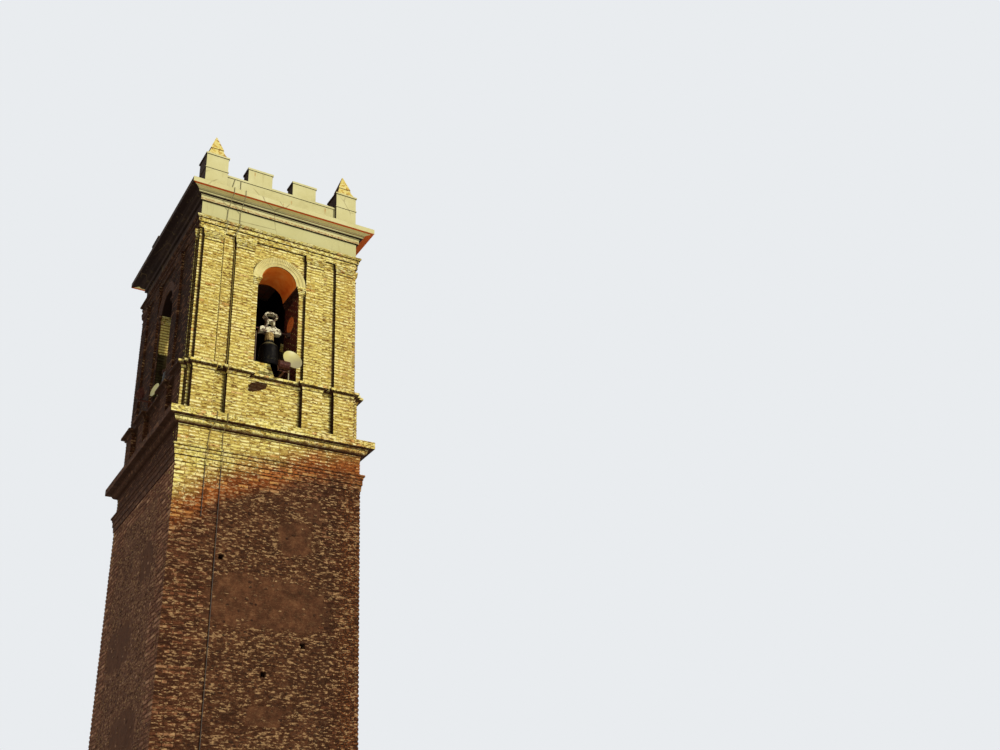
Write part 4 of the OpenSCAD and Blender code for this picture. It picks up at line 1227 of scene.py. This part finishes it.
def bevel_edges(piece, width):
    """Rounds off every edge of the piece that was just made."""
    bevel = piece.modifiers.new("worn_edge", "BEVEL")
    bevel.width = width
    bevel.segments = 2
    bpy.ops.object.modifier_apply(modifier=bevel.name)


def yoke_bolts(side, quarter, ratio, depth):
    """Hexagonal bolt heads on the outer face of one yoke, modelled once and copied. The left yoke is the
    front one at a smaller size."""
    axle_low, axle_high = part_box(f"{side}_axle")
    axis = (axle_low + axle_high) / 2
    bpy.ops.object.select_all(action="DESELECT")
    bpy.ops.mesh.primitive_cylinder_add(vertices=6, radius=0.017 * ratio, depth=0.026,
                                        rotation=(math.radians(90), 0, 0))
    head = bpy.context.object
    bpy.ops.object.transform_apply(location=True, rotation=True, scale=True)
    bevel_edges(head, 0.003)
    corners, outlines = taken_apart(head)
    points = []
    sides = []
    for along, up in bolt_places:
        sides += [[i + len(points) for i in outline] for outline in outlines]
        points += (placed(corners + (along * ratio, 0, up * ratio), quarter, depth) + axis).tolist()
    mesh = bpy.data.meshes.new(f"{side}_yoke_bolts")
    mesh.from_pydata(points, [], sides)
    mesh.materials.append(bare_iron)
    bolts = bpy.data.objects.new(f"{side}_yoke_bolts", mesh)
    bpy.context.collection.objects.link(bolts)
    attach(bolts, f"{side}_bell_body")


left_ratio = (left_high.z - left_low.z) / (front_high.z - front_low.z)
yoke_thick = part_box("front_yoke")[1].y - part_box("front_yoke")[0].y
yoke_bolts("front", 0, 1.0, yoke_thick / 2)
yoke_bolts("left", 3, left_ratio, yoke_thick * left_ratio / 2)

# Floodlights
# Ribbed steel housings in stirrups on arms from the sills, turned to light the wall. The paint has weathered
# to red-brown and is rubbed pale in spots. Each has a pane of clear glass in its rim.
housing = Finish("lamp_housing", shine=0.2)
housing_cloud = housing.clouded((14, 6.0, 0.68), (0.3, 50, 20, 14), (0.55, 84, 38, 24), (0.78, 134, 84, 58))
rubbed = housing.noise(40, 4.0, 0.7).ramp(0.58, 0.7)
housing.over(rubbed * 0.6, (206, 184, 132))
dress(housing.done(0.55, housing.bump(housing_cloud, 0.002)), "lamps")

glazing = Finish("lamp_glass")
glass_dust = glazing.noise(18, 5.0)
glazing.shader.inputs["Coat Weight"].default_value = 0.6
glazing.colour = glazing.mix(glass_dust, (120, 124, 122), (176, 176, 166))
lamp_glass = glazing.done(glass_dust * 0.25 + 0.08)

# The housing, its rim, its pivot over the sill and its tilt
lamp_wide = 0.34
lamp_tall = 0.25
rim_wide = 0.014
lamp_reach = 0.5
lamp_up = 16.90
lamp_tilt = math.radians(20)
pane_thick = 0.004
pane_ahead = 0.0425
for side, quarter, pivot in (
    ("front", 0, Vector((0.085, -half_y - lamp_reach, lamp_up))),
    ("left", 3, Vector((-half_x - lamp_reach, 0.11, lamp_up))),
):
    bpy.ops.object.select_all(action="DESELECT")
    pane_size = (lamp_wide - 2 * rim_wide, pane_thick, lamp_tall - 2 * rim_wide)
    bpy.ops.mesh.primitive_cube_add(size=1, scale=pane_size)
    bpy.ops.object.transform_apply(location=True, rotation=True, scale=True)
    pane = bpy.context.object
    bevel_edges(pane, 0.0015)
    pane.name = f"{side}_lamp_pane"
    pane.data.transform(Matrix.Translation((0, pane_ahead, 0)))
    pane.data.transform(Matrix.Rotation(lamp_tilt, 4, "X"))
    pane.data.transform(Matrix.Rotation(quarter * math.pi / 2, 4, "Z"))
    pane.data.transform(Matrix.Translation(pivot))
    pane.data.materials.append(lamp_glass)
    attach(pane, "tower")

# Dishes
# Pressed steel dishes in pale enamel, painted yellow as sunlit towards the top left and grey as in shade
# towards the bottom right. Each is fixed on a post at a sill.
# Heights over which painted shade on the dishes gives way to painted sunlight
dish_shade_foot = 16.85
dish_shade_head = 17.25
enamel = Finish("dish_enamel")
enamel_cloud = enamel.noise(9, 5.0)
dish_sunlit = (enamel.z - enamel.x * 0.5 + (enamel_cloud - 0.5) * 0.2).ramp(dish_shade_foot, dish_shade_head)
enamel.colour = enamel.mix(dish_sunlit, (156, 146, 104), (190, 180, 104))
rust_spots = enamel.noise(45, 5.0, 0.7).ramp(0.60, 0.74)
enamel.over(rust_spots * 0.6, (132, 92, 50))
dress(enamel.done(0.42, enamel.bump(enamel_cloud, 0.002)), "dishes")

# Fittings on the jambs of the front opening
# A flat iron bar beside the bell, with flakes of cream paint on it, and a round plate on the right jamb,
# coated with orange rust.
rusted = Finish("jamb_iron")
rusted_cloud = rusted.clouded((14, 6.0, 0.7), (0.3, 58, 42, 34), (0.6, 112, 90, 66), (0.75, 204, 182, 132))
orange_rust = rusted.colours(rusted_cloud, (0.25, 160, 72, 28), (0.5, 236, 120, 40), (0.75, 250, 164, 76))
rusted.over(rusted.x > 0.0, orange_rust)
dress(rusted.done(0.78, rusted.bump(rusted_cloud, 0.004), 0.1), "jamb_fittings")

# Cables on the front
# Two black sheathed cables, clipped over the mouldings from the parapet down, grey with dust. Over the neck
# and the belfry they are painted golden like the walls, as painted sunlight, thickly on the belfry and thinly
# below it, and render was brushed thinly over them above it.
sheath = Finish("cable_sheath")
sheath_dust = sheath.clouded((22, 5.0, 0.65), (0.3, 34, 26, 19), (0.55, 58, 45, 31), (0.8, 110, 92, 60))
# Golden coats are painted sunlight; the top coat is cream render.
for foot, head, share, coat in (
    (neck_foot + 0.02, pedestal_high.z, 0.3, (204, 176, 84)),
    (pedestal_high.z, architrave_foot, 0.85, (204, 176, 84)),
    (architrave_foot, cad_box[1].z, 0.4, (196, 186, 130)),
):
    sheath.over((sheath.z > foot) * (sheath.z < head) * share, coat)
dress(sheath.done(0.6, sheath.bump(sheath_dust, 0.001)), "wall_cables")

boxes = {"cad": [list(corner) for corner in cad_box], "scene": [list(corner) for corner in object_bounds()]}
